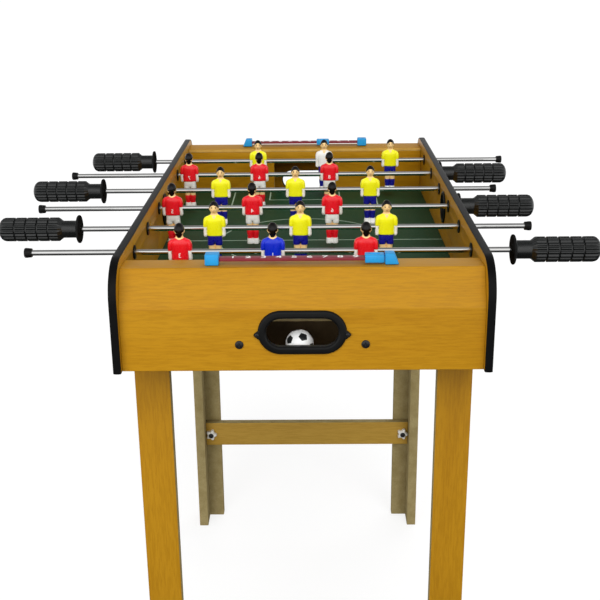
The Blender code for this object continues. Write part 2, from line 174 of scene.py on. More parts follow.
class Shape:
    """Points and faces of one piece. Each face has the place of its material in the piece's list."""

    def __init__(self):
        self.points = []
        self.faces = []
        self.places = []

    def add(self, points, faces, places=0, matrix=None):
        first = len(self.points)
        self.points += [matrix @ Vector(p) if matrix else Vector(p) for p in points]
        self.faces += [tuple(first + i for i in face) for face in faces]
        self.places += list(places) if isinstance(places, (list, tuple)) else [places] * len(faces)

    def skin(self, rings, place=0, loop=False, matrix=None):
        """Skins closed rings that have the same number of points, and caps the two ends."""
        count = len(rings[0])
        bands = len(rings) if loop else len(rings) - 1
        faces = []
        for band in range(bands):
            a, b = band * count, (band + 1) % len(rings) * count
            faces += [(a + i, a + (i + 1) % count, b + (i + 1) % count, b + i) for i in range(count)]
        if not loop:
            faces.append(tuple(reversed(range(count))))
            faces.append(tuple(range(bands * count, (bands + 1) * count)))
        self.add([p for ring in rings for p in ring], faces, place, matrix)

    def block(self, low, high, bevel, place=0, matrix=None, lean=0.0):
        """A box with rounded edges. lean draws its top in from +X. place may be a function of a
        face."""
        low, high = Vector(low), Vector(high)
        scale = Matrix.Diagonal((*(high - low), 1))
        shape = bmesh.new()
        bmesh.ops.create_cube(shape, size=1, matrix=Matrix.Translation((low + high) / 2) @ scale)
        for vert in shape.verts:
            if vert.co.x > low.x + bevel and vert.co.z > low.z + bevel:
                vert.co.x -= lean
        edges = shape.edges[:]
        bmesh.ops.bevel(shape, geom=edges, offset=bevel, segments=3, profile=0.5, affect="EDGES")
        self.take(shape, place, matrix)

    def take(self, shape, place=0, matrix=None):
        """Adds a bmesh and frees it."""
        shape.normal_update()
        shape.verts.index_update()
        points = [v.co.copy() for v in shape.verts]
        faces = [[v.index for v in face.verts] for face in shape.faces]
        places = [place(face) for face in shape.faces] if callable(place) else place
        self.add(points, faces, places, matrix)
        shape.free()

    def take_mesh(self, mesh, place=0, matrix=None):
        shape = bmesh.new()
        shape.from_mesh(mesh)
        self.take(shape, place, matrix)
        bpy.data.meshes.remove(mesh)

    def mesh(self, name, materials, sharp=SHARP_BOARD, weld=SHAPE_WELD):
        mesh = bpy.data.meshes.new(name)
        mesh.from_pydata(self.points, [], self.faces)
        for material in materials:
            mesh.materials.append(material)
        mesh.polygons.foreach_set("material_index", self.places)
        cleaned(mesh, weld).shade_smooth()
        mesh.set_sharp_from_angle(angle=math.radians(sharp))
        return mesh


def linked(name, data):
    """A new object in the scene."""
    obj = bpy.data.objects.new(name, data)
    bpy.context.scene.collection.objects.link(obj)
    return obj


def cleaned(mesh, weld=PLATE_WELD):
    """The mesh with points nearer than weld joined, and with its faces pointing out."""
    shape = bmesh.new()
    shape.from_mesh(mesh)
    bmesh.ops.remove_doubles(shape, verts=shape.verts, dist=weld)
    bmesh.ops.recalc_face_normals(shape, faces=shape.faces)
    shape.to_mesh(mesh)
    shape.free()
    return mesh


def collar(name, outline, paint, count, rounding=0, steps=4, sharp=SHARP_BOARD):
    """A ring round Z as a mesh, with a closed outline of (radius, height)."""
    shape = Shape()
    shape.skin(spun(rounded(outline, rounding, steps), count), loop=True)
    return shape.mesh(name, [paint], sharp)


def evaluated_mesh(obj):
    """The object's final mesh as a new one. The object is removed."""
    bpy.context.view_layer.update()
    graph = bpy.context.evaluated_depsgraph_get()
    mesh = bpy.data.meshes.new_from_object(obj.evaluated_get(graph))
    bpy.data.objects.remove(obj)
    return mesh


def curve_mesh(curve):
    """The curve's solid as a mesh. The curve is removed."""
    mesh = evaluated_mesh(linked(curve.name, curve))
    bpy.data.curves.remove(curve)
    return mesh


def plate(outlines, thickness, bevel, matrix):
    """A flat piece with rounded edges as a mesh: the first outline is its edge, the others its
    holes. matrix turns it from the XY plane into place."""
    curve = bpy.data.curves.new("plate", "CURVE")
    curve.dimensions = "2D"
    curve.fill_mode = "BOTH"
    curve.extrude = thickness / 2 - bevel
    curve.bevel_depth = bevel
    curve.bevel_resolution = 1
    curve.offset = -bevel
    for outline in outlines:
        spline = curve.splines.new("POLY")
        spline.points.add(len(outline) - 1)
        for point, (x, y) in zip(spline.points, outline):
            point.co = (x, y, 0, 1)
        spline.use_cyclic_u = True
    mesh = curve_mesh(curve)
    mesh.transform(matrix)
    return mesh


def cut(mesh, cutters, sharp):
    """The mesh with closed meshes cut out of it, and its edges over an angle made sharp."""
    base = linked("base", mesh)
    tools = [linked("tool", cutter) for cutter in cutters]
    for tool in tools:
        modifier = base.modifiers.new("Cut", "BOOLEAN")
        modifier.operation = "DIFFERENCE"
        modifier.object = tool
    made = evaluated_mesh(base)
    for tool in tools:
        bpy.data.objects.remove(tool)
    made.set_sharp_from_angle(angle=math.radians(sharp))
    return made


def numeral(text, height, depth):
    """A number as a closed mesh, centred in the XY plane."""
    curve = bpy.data.curves.new("numeral", "FONT")
    curve.body = text
    curve.size = height / CAPITAL_SHARE
    curve.extrude = depth / 2
    curve.resolution_u = 4
    curve.align_x = "CENTER"
    curve.align_y = "CENTER"
    return curve_mesh(curve)


def centre_and_half(node):
    """Middle of a node's box, and half of its size."""
    low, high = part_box(node)
    return (low + high) / 2, (high - low) / 2


def faces_y(node):
    """How far a node's inner and outer faces are from the table's middle, along Y."""
    return sorted(abs(corner.y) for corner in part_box(node))


def facing_x(x):
    """Turns a drawing in (Y, Z) into place at x."""
    turn = Matrix.Rotation(math.pi / 2, 4, "Z") @ Matrix.Rotation(math.pi / 2, 4, "X")
    return Matrix.Translation((x, 0, 0)) @ turn


def facing_y(y):
    """Turns a drawing in (X, Z) into place at y."""
    return Matrix.Translation((0, y, 0)) @ Matrix.Rotation(math.pi / 2, 4, "X")


def piece(name, mesh, body, slot, *replaced, matrix=None):
    """A finished piece that moves with a body. Its slot is not used."""
    obj = linked(name, mesh)
    if matrix:
        obj.matrix_world = matrix
    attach(obj, body)
    if replaced:
        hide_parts(*replaced)


def clad(node, kind, mesh, slot, body=TABLE, matrix=None):
    """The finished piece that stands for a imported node."""
    piece(f"{node}_{kind}", mesh, body, slot, node, matrix=matrix)


# ---------------------------------------------------------------- materials

COAT_ROUGHNESS = 0.15


class Nodes:
    """A tree of shader nodes."""

    def __init__(self, tree):
        self.tree = tree

    def feed(self, node, inputs):
        """Each input of the node takes a value, or another node's output."""
        for name, value in inputs.items():
            if isinstance(value, bpy.types.NodeSocket):
                self.tree.links.new(value, node.inputs[name])
            else:
                node.inputs[name].default_value = value

    def node(self, kind, inputs):
        node = self.tree.nodes.new(kind)
        self.feed(node, inputs)
        return node

    def ramp(self, value, *stops):
        """Colours at places along a value."""
        node = self.node("ShaderNodeValToRGB", {"Fac": value})
        elements = node.color_ramp.elements
        while len(elements) < len(stops):
            elements.new(0.5)
        for element, (at, colour) in zip(elements, stops):
            element.position = at
            element.color = (*colour, 1)
        return node.outputs["Color"]

    def blend(self, first, second, share, mode="MIX"):
        """Two colours mixed. share is how much of the second there is."""
        node = self.tree.nodes.new("ShaderNodeMix")
        node.data_type = "RGBA"
        node.blend_type = mode
        self.feed(node, {6: first, 7: second, "Factor": share})
        return node.outputs[2]

    def span(self, value, low, high, first=0.3, last=0.7, curve="LINEAR"):
        """The value's part from first to last, spread from low to high."""
        inputs = {"Value": value, "From Min": first, "From Max": last, "To Min": low, "To Max": high}
        node = self.node("ShaderNodeMapRange", inputs)
        node.interpolation_type = curve
        return node.outputs["Result"]


class Look(Nodes):
    """A Principled material."""

    def __init__(self, name, roughness=0.4, metallic=0.0, specular=0.5, coat=0.0):
        self.material = bpy.data.materials.new(name)
        self.material.use_nodes = True
        super().__init__(self.material.node_tree)
        self.shader = self.tree.nodes["Principled BSDF"]
        values = {"Roughness": roughness, "Metallic": metallic, "Specular IOR Level": specular}
        self.feed(self.shader, {**values, "Coat Weight": coat, "Coat Roughness": COAT_ROUGHNESS})
        self.place = self.node("ShaderNodeTexCoord", {}).outputs["Object"]

    def noise(self, scale, detail=2.0, distortion=0.0, stretch=(1, 1, 1), seed=0.0):
        """Noise over the object's own coordinates. Its value runs from 0 to 1."""
        inputs = {"Vector": self.place, "Scale": stretch, "Location": (seed, seed * 1.7, seed * 2.3)}
        place = self.node("ShaderNodeMapping", inputs).outputs["Vector"]
        inputs = {"Vector": place, "Scale": scale, "Detail": detail, "Distortion": distortion}
        return self.node("ShaderNodeTexNoise", inputs).outputs["Fac"]

    def finished(self, colour, roughness, height, distance, strength):
        """The material, with its colour, its roughness and the height of its bumps."""
        inputs = {"Height": height, "Distance": distance, "Strength": strength}
        bump = self.node("ShaderNodeBump", inputs).outputs["Normal"]
        self.feed(self.shader, {"Base Color": colour, "Roughness": roughness, "Normal": bump})
        return self.material


def shade(colour, factor):
    return tuple(min(1.0, c * factor) for c in colour)


def plain(name, colour, roughness=0.35, grain=900.0, vary=0.10, coat=0.0, specular=0.5, depth=0.00002):
    """Moulded or painted plastic: slight cloudiness, uneven gloss and a fine moulded skin."""
    look = Look(name, roughness, specular=specular, coat=coat)
    cloud = look.noise(45.0, 3.0)
    fine = look.noise(grain, 2.0, seed=3.0)
    tone = look.ramp(cloud, (0.3, shade(colour, 1 - vary)), (0.7, shade(colour, 1 + vary)))
    gloss = look.span(fine, roughness - 0.06, roughness + 0.06)
    return look.finished(tone, gloss, fine, depth, 0.5)


GRAIN = {"X": (1, 12, 12), "Y": (12, 1, 12), "Z": (12, 12, 1)}


def wood(name, axis, light, dark, seed):
    """Printed wood laminate with its grain along one axis, under a satin film."""
    look = Look(name, 0.4, specular=0.25)
    stretch = GRAIN[axis]
    bands = look.noise(3.0, 2.0, 0.4, stretch, seed)
    streaks = look.noise(48.0, 3.0, 0.2, stretch, seed + 5)
    pores = look.noise(160.0, 1.0, 0.0, stretch, seed + 9)
    tone = look.ramp(bands, (0.35, dark), (0.65, light))
    lines = look.ramp(streaks, (0.38, (0.84, 0.81, 0.72)), (0.58, (1, 1, 1)))
    ticks = look.ramp(pores, (0.28, (0.82, 0.79, 0.72)), (0.42, (1, 1, 1)))
    grained = look.blend(look.blend(tone, lines, 0.7, "MULTIPLY"), ticks, 0.5, "MULTIPLY")
    return look.finished(grained, look.span(streaks, 0.36, 0.46), streaks, 0.00002, 0.4)


def fibreboard(name, light, dark):
    """Raw pressed board, as on sawn edges and unseen faces."""
    look = Look(name, 0.85, specular=0.2)
    cloud = look.noise(70.0, 3.0)
    fibres = look.noise(1400.0, 3.0, 0.5, seed=4.0)
    tone = look.ramp(cloud, (0.3, dark), (0.7, light))
    specks = look.ramp(fibres, (0.35, (0.72, 0.70, 0.66)), (0.55, (1, 1, 1)))
    speckled = look.blend(tone, specks, 0.8, "MULTIPLY")
    return look.finished(speckled, look.span(fibres, 0.78, 0.95), fibres, 0.00012, 0.8)


def plated(name, colour, roughness):
    """Bright plated steel with faint lines along the tube, which is drawn along Z."""
    look = Look(name, roughness, metallic=1.0)
    lines = look.noise(60.0, 3.0, stretch=(30, 30, 1))
    cloud = look.noise(35.0, 2.0, seed=6.0)
    tone = look.ramp(cloud, (0.3, shade(colour, 0.94)), (0.7, colour))
    gloss = look.span(lines, roughness - 0.03, roughness + 0.06)
    return look.finished(tone, gloss, lines, 0.00001, 0.3)


def printed_field():
    """Dark green printed board with faint mowing bands across it."""
    look = Look("field_print", 0.5, specular=0.08)
    bands = look.noise(2.0, 1.0, stretch=(0.3, 9, 1))
    fine = look.noise(700.0, 3.0, seed=2.0)
    tone = look.ramp(bands, (0.35, (0.009, 0.046, 0.019)), (0.65, (0.013, 0.060, 0.026)))
    specks = look.ramp(fine, (0.3, (0.82, 0.82, 0.82)), (0.6, (1, 1, 1)))
    speckled = look.blend(tone, specks, 0.7, "MULTIPLY")
    return look.finished(speckled, look.span(fine, 0.36, 0.5), fine, 0.00003, 0.4)


HONEY = (0.455, 0.222, 0.006)
HONEY_DARK = (0.420, 0.196, 0.004)

wood_along_x = wood("laminate_along_x", "X", HONEY, HONEY_DARK, 1.0)
wood_along_y = wood("laminate_along_y", "Y", HONEY, HONEY_DARK, 2.0)
# The legs' laminate is a darker copy of the body's: painted shade under the table's body.
upright_wood_painted_shade = wood("laminate_upright_painted_shade", "Z", shade(HONEY, 0.9), shade(HONEY_DARK, 0.85), 3.0)
wood_crossbar = wood("laminate_crossbar", "X", (0.50, 0.30, 0.05), (0.46, 0.27, 0.04), 4.0)
raw_board = fibreboard("raw_board", (0.40, 0.32, 0.15), (0.31, 0.24, 0.10))
# Near-black board for the goal wall's back, towards the trough: painted shade of the dark trough behind
# the wall.
trough_shade_board = fibreboard("painted_shade_board", (0.050, 0.034, 0.016), (0.034, 0.022, 0.010))
# Raw board for the flap's cut edge, painted paler than the other raw edges as a highlight along that
# edge.
raw_edge_painted_highlight = fibreboard("raw_edge_painted_highlight", (0.66, 0.40, 0.10), (0.58, 0.33, 0.07))
trim_black = plain("edge_foil", (0.003, 0.003, 0.003), 0.34, 700.0, 0.2, specular=0.12)
black = plain("black_moulded", (0.005, 0.005, 0.005), 0.34, 1200.0, 0.2, specular=0.2)
grip_black = plain("black_grip", (0.005, 0.006, 0.006), 0.28, 1200.0, 0.2, specular=0.75)
flange_black = plain("black_flange", (0.012, 0.012, 0.012), 0.6, 1200.0, 0.2, specular=0.0)
screw_black = plain("black_screw", (0.009, 0.009, 0.010), 0.28, 1500.0, 0.2)
chrome = plated("rod_chrome", (0.80, 0.80, 0.79), 0.10)
field_green = printed_field()
line_white = plain("line_print", (0.36, 0.50, 0.38), 0.5, 800.0, 0.08)
maroon = plain("maroon_plastic", (0.19, 0.015, 0.026), 0.35)
sky_blue = plain("sky_blue_plastic", (0.014, 0.29, 0.64), 0.32)
numeral_white = plain("numeral_white", (0.90, 0.90, 0.88), 0.45)
nut_white = plain("nut_plastic", (0.80, 0.79, 0.74), 0.35)
ball_white = plain("ball_white", (0.78, 0.79, 0.78), 0.35, coat=0.2)
ball_black = plain("ball_black", (0.010, 0.011, 0.011), 0.35, coat=0.2)
skin = plain("skin_paint", (0.95, 0.65, 0.29), 0.42, vary=0.04)
pale_skin = plain("pale_skin_paint", (0.93, 0.89, 0.82), 0.42, vary=0.04)
hair = plain("hair_paint", (0.004, 0.003, 0.003), 0.20, 500.0, 0.2, specular=0.35, depth=0.00005)
lips = plain("lip_paint", (0.45, 0.12, 0.08), 0.45)
red_paint = plain("red_paint", (0.80, 0.008, 0.018), 0.28, coat=0.4)
yellow_paint = plain("yellow_paint", (0.99, 0.93, 0.008), 0.30, coat=0.25)
blue_paint = plain("blue_paint", (0.002, 0.024, 0.60), 0.28, coat=0.3)
navy_paint = plain("navy_paint", (0.008, 0.008, 0.24), 0.30, coat=0.25)
white_paint = plain("white_paint", (0.88, 0.87, 0.83), 0.32, vary=0.04, coat=0.25)


# ---------------------------------------------------------------- body of the table

CORNER_RADIUS = 0.038
TRIM_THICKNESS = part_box("side_panel_left")[0].z - BASE
TRIM_CROWN = 0.0004
ROD_HEIGHT = sum(corner.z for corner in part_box("rod_1")) / 2 - BASE
BUSHING_HOLE = 0.0052
HOLE_POINTS = 20
PANEL_ROUNDING = 0.0002
# Space between two pieces that meet, so that they never share a face.
GAP = 0.0001
# Where the trim's rings are across its width, from -1 to 1.
TRIM_RINGS = (-1, -0.96, -0.8, -0.4, 0, 0.4, 0.8, 0.96, 1)
SERVE_LOW, SERVE_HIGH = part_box("serve_ring_left")
SERVE_HEIGHT = (SERVE_LOW.z + SERVE_HIGH.z) / 2 - BASE
SERVE_SLEEVE = 0.0178
END_THICKNESS = 0.004
TROUGH_FLOOR = 0.006
END_FOLD = 0.0642
END_TOP_OUTER = 0.323
FLAP_DROP = 0.0015
FOLD_ROUNDING = 0.0009
EDGE_ROUNDING = 0.0004
RETURN_HEIGHT = 0.040
RETURN_OPENING = (0.0705, 0.029)
RETURN_SLEEVE_WALL = 0.0012
RETURN_PLAY = 0.0004
GOAL_HALF_WIDTH = 0.047
GOAL_TOP = 0.078
GOAL_CORNER = 0.004
GOAL_SILL_DROP = 0.0003
BEHIND_WALL_GAP = 0.0003


def rod_y(number):
    return centre_and_half(f"rod_{number}")[0].y


def side_outline(inset, steps=12):
    """Side of the table in (Y, Z), with its two upper corners rounded."""
    half = BODY_HIGH.y
    bend = half - CORNER_RADIUS
    top = BODY_HIGH.z - CORNER_RADIUS
    radius = CORNER_RADIUS - inset
    back = arc((bend, top), radius, 0, 90, steps)
    front = arc((-bend, top), radius, 90, 180, steps)
    return [(half - inset, BASE + inset), *back, *front, (inset - half, BASE + inset)]


def make_side(label):
    """Laminated panel with its holes, and the black foil round its edge."""
    middle, half = centre_and_half(f"edge_trim_{label}")
    holes = [circle((rod_y(n), BASE + ROD_HEIGHT), BUSHING_HOLE, HOLE_POINTS) for n in RODS]
    holes.append(circle((0, BASE + SERVE_HEIGHT), SERVE_SLEEVE, 2 * HOLE_POINTS))
    outlines = [side_outline(TRIM_THICKNESS), *holes]
    panel = Shape()
    panel.take_mesh(plate(outlines, 2 * half.x, PANEL_ROUNDING, facing_x(middle.x)))
    mesh = panel.mesh("side_panel", [wood_along_y], weld=PLATE_WELD)
    clad(f"side_panel_{label}", "laminate", mesh, "wood_laminate")

    insets = [(share, TRIM_CROWN * abs(share) ** 4) for share in TRIM_RINGS]
    insets += [(share, TRIM_THICKNESS - GAP) for share in (1, -1)]
    rings = []
    for share, inset in insets:
        x = middle.x + share * half.x
        rings.append([Vector((x, y, z)) for y, z in side_outline(inset)])
    trim = Shape()
    trim.skin(rings, loop=True)
    mesh = trim.mesh("edge_trim", [trim_black])
    clad(f"edge_trim_{label}", "foil", mesh, "black_trim")


def end_section(label):
    """Outline of an end panel in (Y, Z) with Y outwards: its flap, its face and its trough's floor."""
    low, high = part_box(f"end_panel_{label}")
    inner, face = faces_y(f"end_panel_{label}")
    behind_wall = faces_y(f"goal_wall_{label}")[1] + BEHIND_WALL_GAP
    fold, flap_edge = BASE + END_FOLD, high.z - FLAP_DROP
    slope = Vector((face - END_TOP_OUTER, fold - high.z)).normalized()
    fold_drop = END_THICKNESS * (1 + slope.y) / slope.x
    top_shift = END_THICKNESS * (1 - slope.x) / -slope.y
    outline = [
        (inner, flap_edge),
        (END_TOP_OUTER, high.z),
        (face, fold),
        (face, low.z),
        (behind_wall, low.z),
        (behind_wall, low.z + TROUGH_FLOOR),
        (face - END_THICKNESS, low.z + TROUGH_FLOOR),
        (face - END_THICKNESS, fold - fold_drop),
        (END_TOP_OUTER - top_shift, high.z - END_THICKNESS),
        (inner, flap_edge - END_THICKNESS),
    ]
    radii = [EDGE_ROUNDING, FOLD_ROUNDING, FOLD_ROUNDING, FOLD_ROUNDING, EDGE_ROUNDING] + [0] * 5
    return rounded(outline, radii)


def make_end_panel(label, end):
    """Folded panel with the ball return's opening. The edge of its flap is raw board, painted paler than
    the other raw edges as a highlight.
    """
    node = f"end_panel_{label}"
    low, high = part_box(node)
    inner, face = faces_y(node)
    section = end_section(label)
    board = Shape()
    board.skin([[Vector((x, end * y, z)) for y, z in section] for x in (low.x, high.x)])
    sides = [side + 2 * RETURN_SLEEVE_WALL + RETURN_PLAY for side in RETURN_OPENING]
    opening = stadium((MIDDLE_X, BASE + RETURN_HEIGHT), *sides)
    cutter = cleaned(plate([opening], 3 * END_THICKNESS, 0.0, facing_y(end * face)))
    mesh = cut(board.mesh("end_panel", [wood_along_x, raw_edge_painted_highlight]), [cutter], SHARP_BOARD)
    # The flap's cut edge takes the paler board: raw board with a painted highlight.
    for side in mesh.polygons:
        if side.normal.y * end < -0.9 and abs(side.center.y) < inner + EDGE_ROUNDING:
            side.material_index = 1
    clad(node, "laminate", mesh, "wood_laminate")


def make_goal_wall(label, end):
    """Wall with the goal in it: laminate towards the field, raw edges, and a near-black back that is
    painted shade of the trough behind it.
    """
    low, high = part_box(f"goal_wall_{label}")
    edge = rectangle((low.x, low.z), (high.x, high.z))
    left, right = MIDDLE_X - GOAL_HALF_WIDTH, MIDDLE_X + GOAL_HALF_WIDTH
    goal = rectangle((left, FIELD_HIGH.z - GOAL_SILL_DROP), (right, BASE + GOAL_TOP))
    goal = rounded(goal, [0, 0, GOAL_CORNER, GOAL_CORNER])
    board = plate([edge, goal], high.y - low.y, EDGE_ROUNDING, facing_y((low.y + high.y) / 2))
    wall = Shape()
    # Faces towards the end panel take the near-black board as painted shade, faces towards the field take
    # the laminate, and the edges raw board.
    wall.take_mesh(board, lambda side: 1 + round(side.normal.y * end * 0.9))
    mesh = wall.mesh("goal_wall", [wood_along_x, raw_board, trough_shade_board], weld=PLATE_WELD)
    clad(f"goal_wall_{label}", "laminate", mesh, "wood_laminate")


LEG_BOARD = 0.0138
LEG_SEAM = 0.0001
BOARD_ROUNDING = 0.0006


def make_legs():
    """Each leg is two boards in an L: laminate outside, raw board inside and on the sawn edges."""
    for front_back, end in ENDS:
        for label, side in SIDES:
            node = f"leg_{front_back}_{label}"
            low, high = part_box(node)
            inner_x, outer_x = (low.x, high.x) if side > 0 else (high.x, low.x)
            inner_y, outer_y = (low.y, high.y) if end > 0 else (high.y, low.y)

            def finish(face, end=end, side=side):
                return 0 if face.normal.y * end > 0.5 or face.normal.x * side > 0.5 else 1

            leg = Shape()
            split = outer_y - end * LEG_BOARD
            corners = [(outer_x, outer_y, low.z), (inner_x, split, high.z)]
            corners += [(outer_x, split - end * LEG_SEAM, low.z)]
            corners += [(outer_x - side * LEG_BOARD, inner_y, high.z)]
            for first, second in (corners[:2], corners[2:]):
                smallest = [min(a, b) for a, b in zip(first, second)]
                largest = [max(a, b) for a, b in zip(first, second)]
                leg.block(smallest, largest, BOARD_ROUNDING, finish)
            # The laminate outside is the darker copy, painted as shade under the body.
            clad(node, "boards", leg.mesh(node, [upright_wood_painted_shade, raw_board]), "wood_laminate")


STAR_X = 0.1542
STAR_RADIUS = 0.0074
STAR_LOBE = 0.0016
STAR_POINTS = 5
STAR_RING_POINTS = 60
BOLT_POINTS = 24
# Outlines (radius, height) of a star nut and of the bolt that ends in it, and their corners' rounding.
NUT_OUTLINE = ((STAR_RADIUS, 0), (STAR_RADIUS, 0.0055), (STAR_RADIUS - 0.003, 0.0067), (0.0042, 0.0067))
NUT_ROUNDING = 0.0012
BOLT_OUTLINE = ((0.004, 0.0055), (0.004, 0.0077), (0.0034, 0.0083), (0.0012, 0.0085))
BOLT_ROUNDING = 0.0005


def star_radius(radius, _, i):
    """The radius of a star at a point, for spun."""
    swell = math.cos(2 * math.pi * STAR_POINTS * i / STAR_RING_POINTS)
    return radius * (1 + swell * STAR_LOBE / STAR_RADIUS)


def make_crossbars():
    """Crossbars, with a star nut on a black bolt near each end."""
    nut = Shape()
    outline = rounded(NUT_OUTLINE, NUT_ROUNDING, closed=False)
    nut.skin(spun(outline, STAR_RING_POINTS, shaped=star_radius))
    nut.skin(spun(rounded(BOLT_OUTLINE, BOLT_ROUNDING, closed=False), BOLT_POINTS), place=1)
    mesh = nut.mesh("star_nut", [nut_white, screw_black])
    for front_back, end in ENDS:
        node = f"crossbar_{front_back}"
        low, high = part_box(node)
        bar = Shape()
        bar.block(low, high, BOARD_ROUNDING, lambda face: 0 if abs(face.normal.y) > 0.5 else 1)
        clad(node, "board", bar.mesh(node, [wood_crossbar, raw_board]), "wood_laminate")
        face = low.y if end > 0 else high.y
        turn = Matrix.Rotation(end * math.pi / 2, 4, "X")
        for label, side in SIDES:
            spot = (MIDDLE_X + side * STAR_X, face, (low.z + high.z) / 2)
            place = Matrix.Translation(spot) @ turn
            piece(f"nut_{front_back}_{label}", mesh, TABLE, "chrome", matrix=place)


# ---------------------------------------------------------------- rings, bushings and screws

SCREW_SKIRT = 0.0004
SCREW_STEPS = 6
SCREW_POINTS = 28
# Height of a head's straight side, as a share. Its dome takes the rest.
SCREW_SIDE = 0.3
# Reach, half width and depth of the cross, as shares of the head's radius and height.
CROSS_REACH, CROSS_WIDTH, CROSS_DEPTH = 0.52, 0.12, 0.6
# Radius and height of the screws' heads.
RING_SCREW = (0.0021, 0.0011)
PANEL_SCREW = (0.0042, 0.0018)


def screw_mesh(radius, height):
    """A low domed head with a cross drive, standing on the XY plane."""
    profile = [(radius, -SCREW_SKIRT), (radius, height * SCREW_SIDE)]
    for i in range(1, SCREW_STEPS + 1):
        angle = math.pi / 2 * i / SCREW_STEPS
        rise = SCREW_SIDE + (1 - SCREW_SIDE) * math.sin(angle)
        profile.append((radius * max(math.cos(angle), 0.05), height * rise))
    head = Shape()
    head.skin(spun(profile, SCREW_POINTS))
    reach, width, depth = radius * CROSS_REACH, radius * CROSS_WIDTH, height * CROSS_DEPTH
    slots = []
    for x, y in ((reach, width), (width, reach)):
        slot = Shape()
        slot.block((-x, -y, height - depth), (x, y, height + depth), width * 0.3)
        slots.append(slot.mesh("slot", []))
    return cut(head.mesh("screw", [screw_black]), slots, SHARP_MOULDING)


BUSHING_FLANGE = 0.00875
BUSHING_INNER_FLANGE = 0.0076
BUSHING_BORE = 0.00325
BUSHING_OUTSIDE = 0.0022
BUSHING_SLANT = 0.00044
BUSHING_INSIDE = 0.0016
BUSHING_ROUNDING = (0.0008, 0.0009, 0.0001, 0, 0, 0.0001, 0.0005, 0.0004)


def make_bushings():
    """A flanged black bushing lines each rod hole."""
    half = (BODY_HIGH.x - BODY_LOW.x) / 2
    outline = [
        (BUSHING_BORE, half + BUSHING_OUTSIDE),
        (BUSHING_FLANGE, half + BUSHING_OUTSIDE - BUSHING_SLANT),
        (BUSHING_FLANGE, half + GAP),
        (BUSHING_HOLE - GAP, half + GAP),
        (BUSHING_HOLE - GAP, -half - GAP),
        (BUSHING_INNER_FLANGE, -half - GAP),
        (BUSHING_INNER_FLANGE, -half - BUSHING_INSIDE),
        (BUSHING_BORE, -half - BUSHING_INSIDE),
    ]
    mesh = collar("bushing", outline, black, 32, BUSHING_ROUNDING, 3)
    for label, side in SIDES:
        middle, _ = centre_and_half(f"edge_trim_{label}")
        turn = Matrix.Rotation(side * math.pi / 2, 4, "Y")
        for number in RODS:
            place = Matrix.Translation((middle.x, rod_y(number), BASE + ROD_HEIGHT)) @ turn
            piece(f"bushing_{number}_{label}", mesh, TABLE, "black_plastic", matrix=place)


SERVE_HOLE = 0.016
SERVE_FLANGE = 0.020
SERVE_SLANT = 0.0003
SERVE_ROUNDING = (0.0012, 0.0012, 0.0001, 0, 0, 0.0001, 0.0012, 0.0012)


def make_serve_rings():
    """A ring with a flange on both faces of each side panel, where the ball goes in."""
    for label, _ in SIDES:
        node = f"serve_ring_{label}"
        middle, half = centre_and_half(node)
        seat = centre_and_half(f"side_panel_{label}")[1].x + GAP
        outline = [
            (SERVE_HOLE, half.x),
            (SERVE_FLANGE, half.x - SERVE_SLANT),
            (SERVE_FLANGE, seat),
            (SERVE_SLEEVE - GAP, seat),
            (SERVE_SLEEVE - GAP, -seat),
            (SERVE_FLANGE, -seat),
            (SERVE_FLANGE, SERVE_SLANT - half.x),
            (SERVE_HOLE, -half.x),
        ]
        mesh = collar("serve_ring", outline, black, 56, SERVE_ROUNDING)
        place = Matrix.Translation(middle) @ TURN_TO_X
        clad(node, "moulding", mesh, "black_plastic", matrix=place)


# The return ring's inner lip and outer rim, and how far each lies below its crest.
LIP_WIDTH, LIP_DROP = 0.0016, 0.0014
RIM_WIDTH, RIM_DROP = 0.0012, 0.0002
RETURN_ROUNDING = (0.0002, 0.0006, 0.0008, 0.0014, 0.0002, 0, 0.0002)
EAR_OUTLINE = ((0.037, 0.0085), (0.0454, 0.0026), (0.048, 0), (0.0454, -0.0026), (0.037, -0.0085))
EAR_ROUNDING = 0.002
EAR_BEVEL = 0.0005
EAR_DROP = 0.002
# Height of an ear as a share of the ring's.
EAR_SHARE = 0.8
EAR_SCREW_X = 0.0441
PANEL_SCREW_X = 0.0615
PANEL_SCREW_HEIGHT = 0.0276


def return_ring_mesh(flange, thick):
    """Oval ring with a rounded face, a sleeve through the panel, and an ear at each end."""
    width, height = RETURN_OPENING
    radius = height / 2
    sleeve = radius + RETURN_SLEEVE_WALL
    # Radius and height above the panel, from the inner end of the opening outwards.
    outline = [
        (radius, -END_THICKNESS),
        (radius, thick - LIP_DROP),
        (radius + LIP_WIDTH, thick),
        (flange - RIM_WIDTH, thick - RIM_DROP),
        (flange, 0),
        (sleeve, 0),
        (sleeve, -END_THICKNESS),
    ]
    ring = Shape()
    ring.skin(spun(rounded(outline, RETURN_ROUNDING), 64, (width - height) / 2), loop=True)
    ear_height = thick * EAR_SHARE
    for side in (-1, 1):
        ear = rounded([(side * x, y - EAR_DROP) for x, y in EAR_OUTLINE], EAR_ROUNDING)
        ring.take_mesh(plate([ear], ear_height, EAR_BEVEL, Matrix.Translation((0, 0, ear_height / 2))))
    return ring.mesh("return_ring", [black], weld=PLATE_WELD)


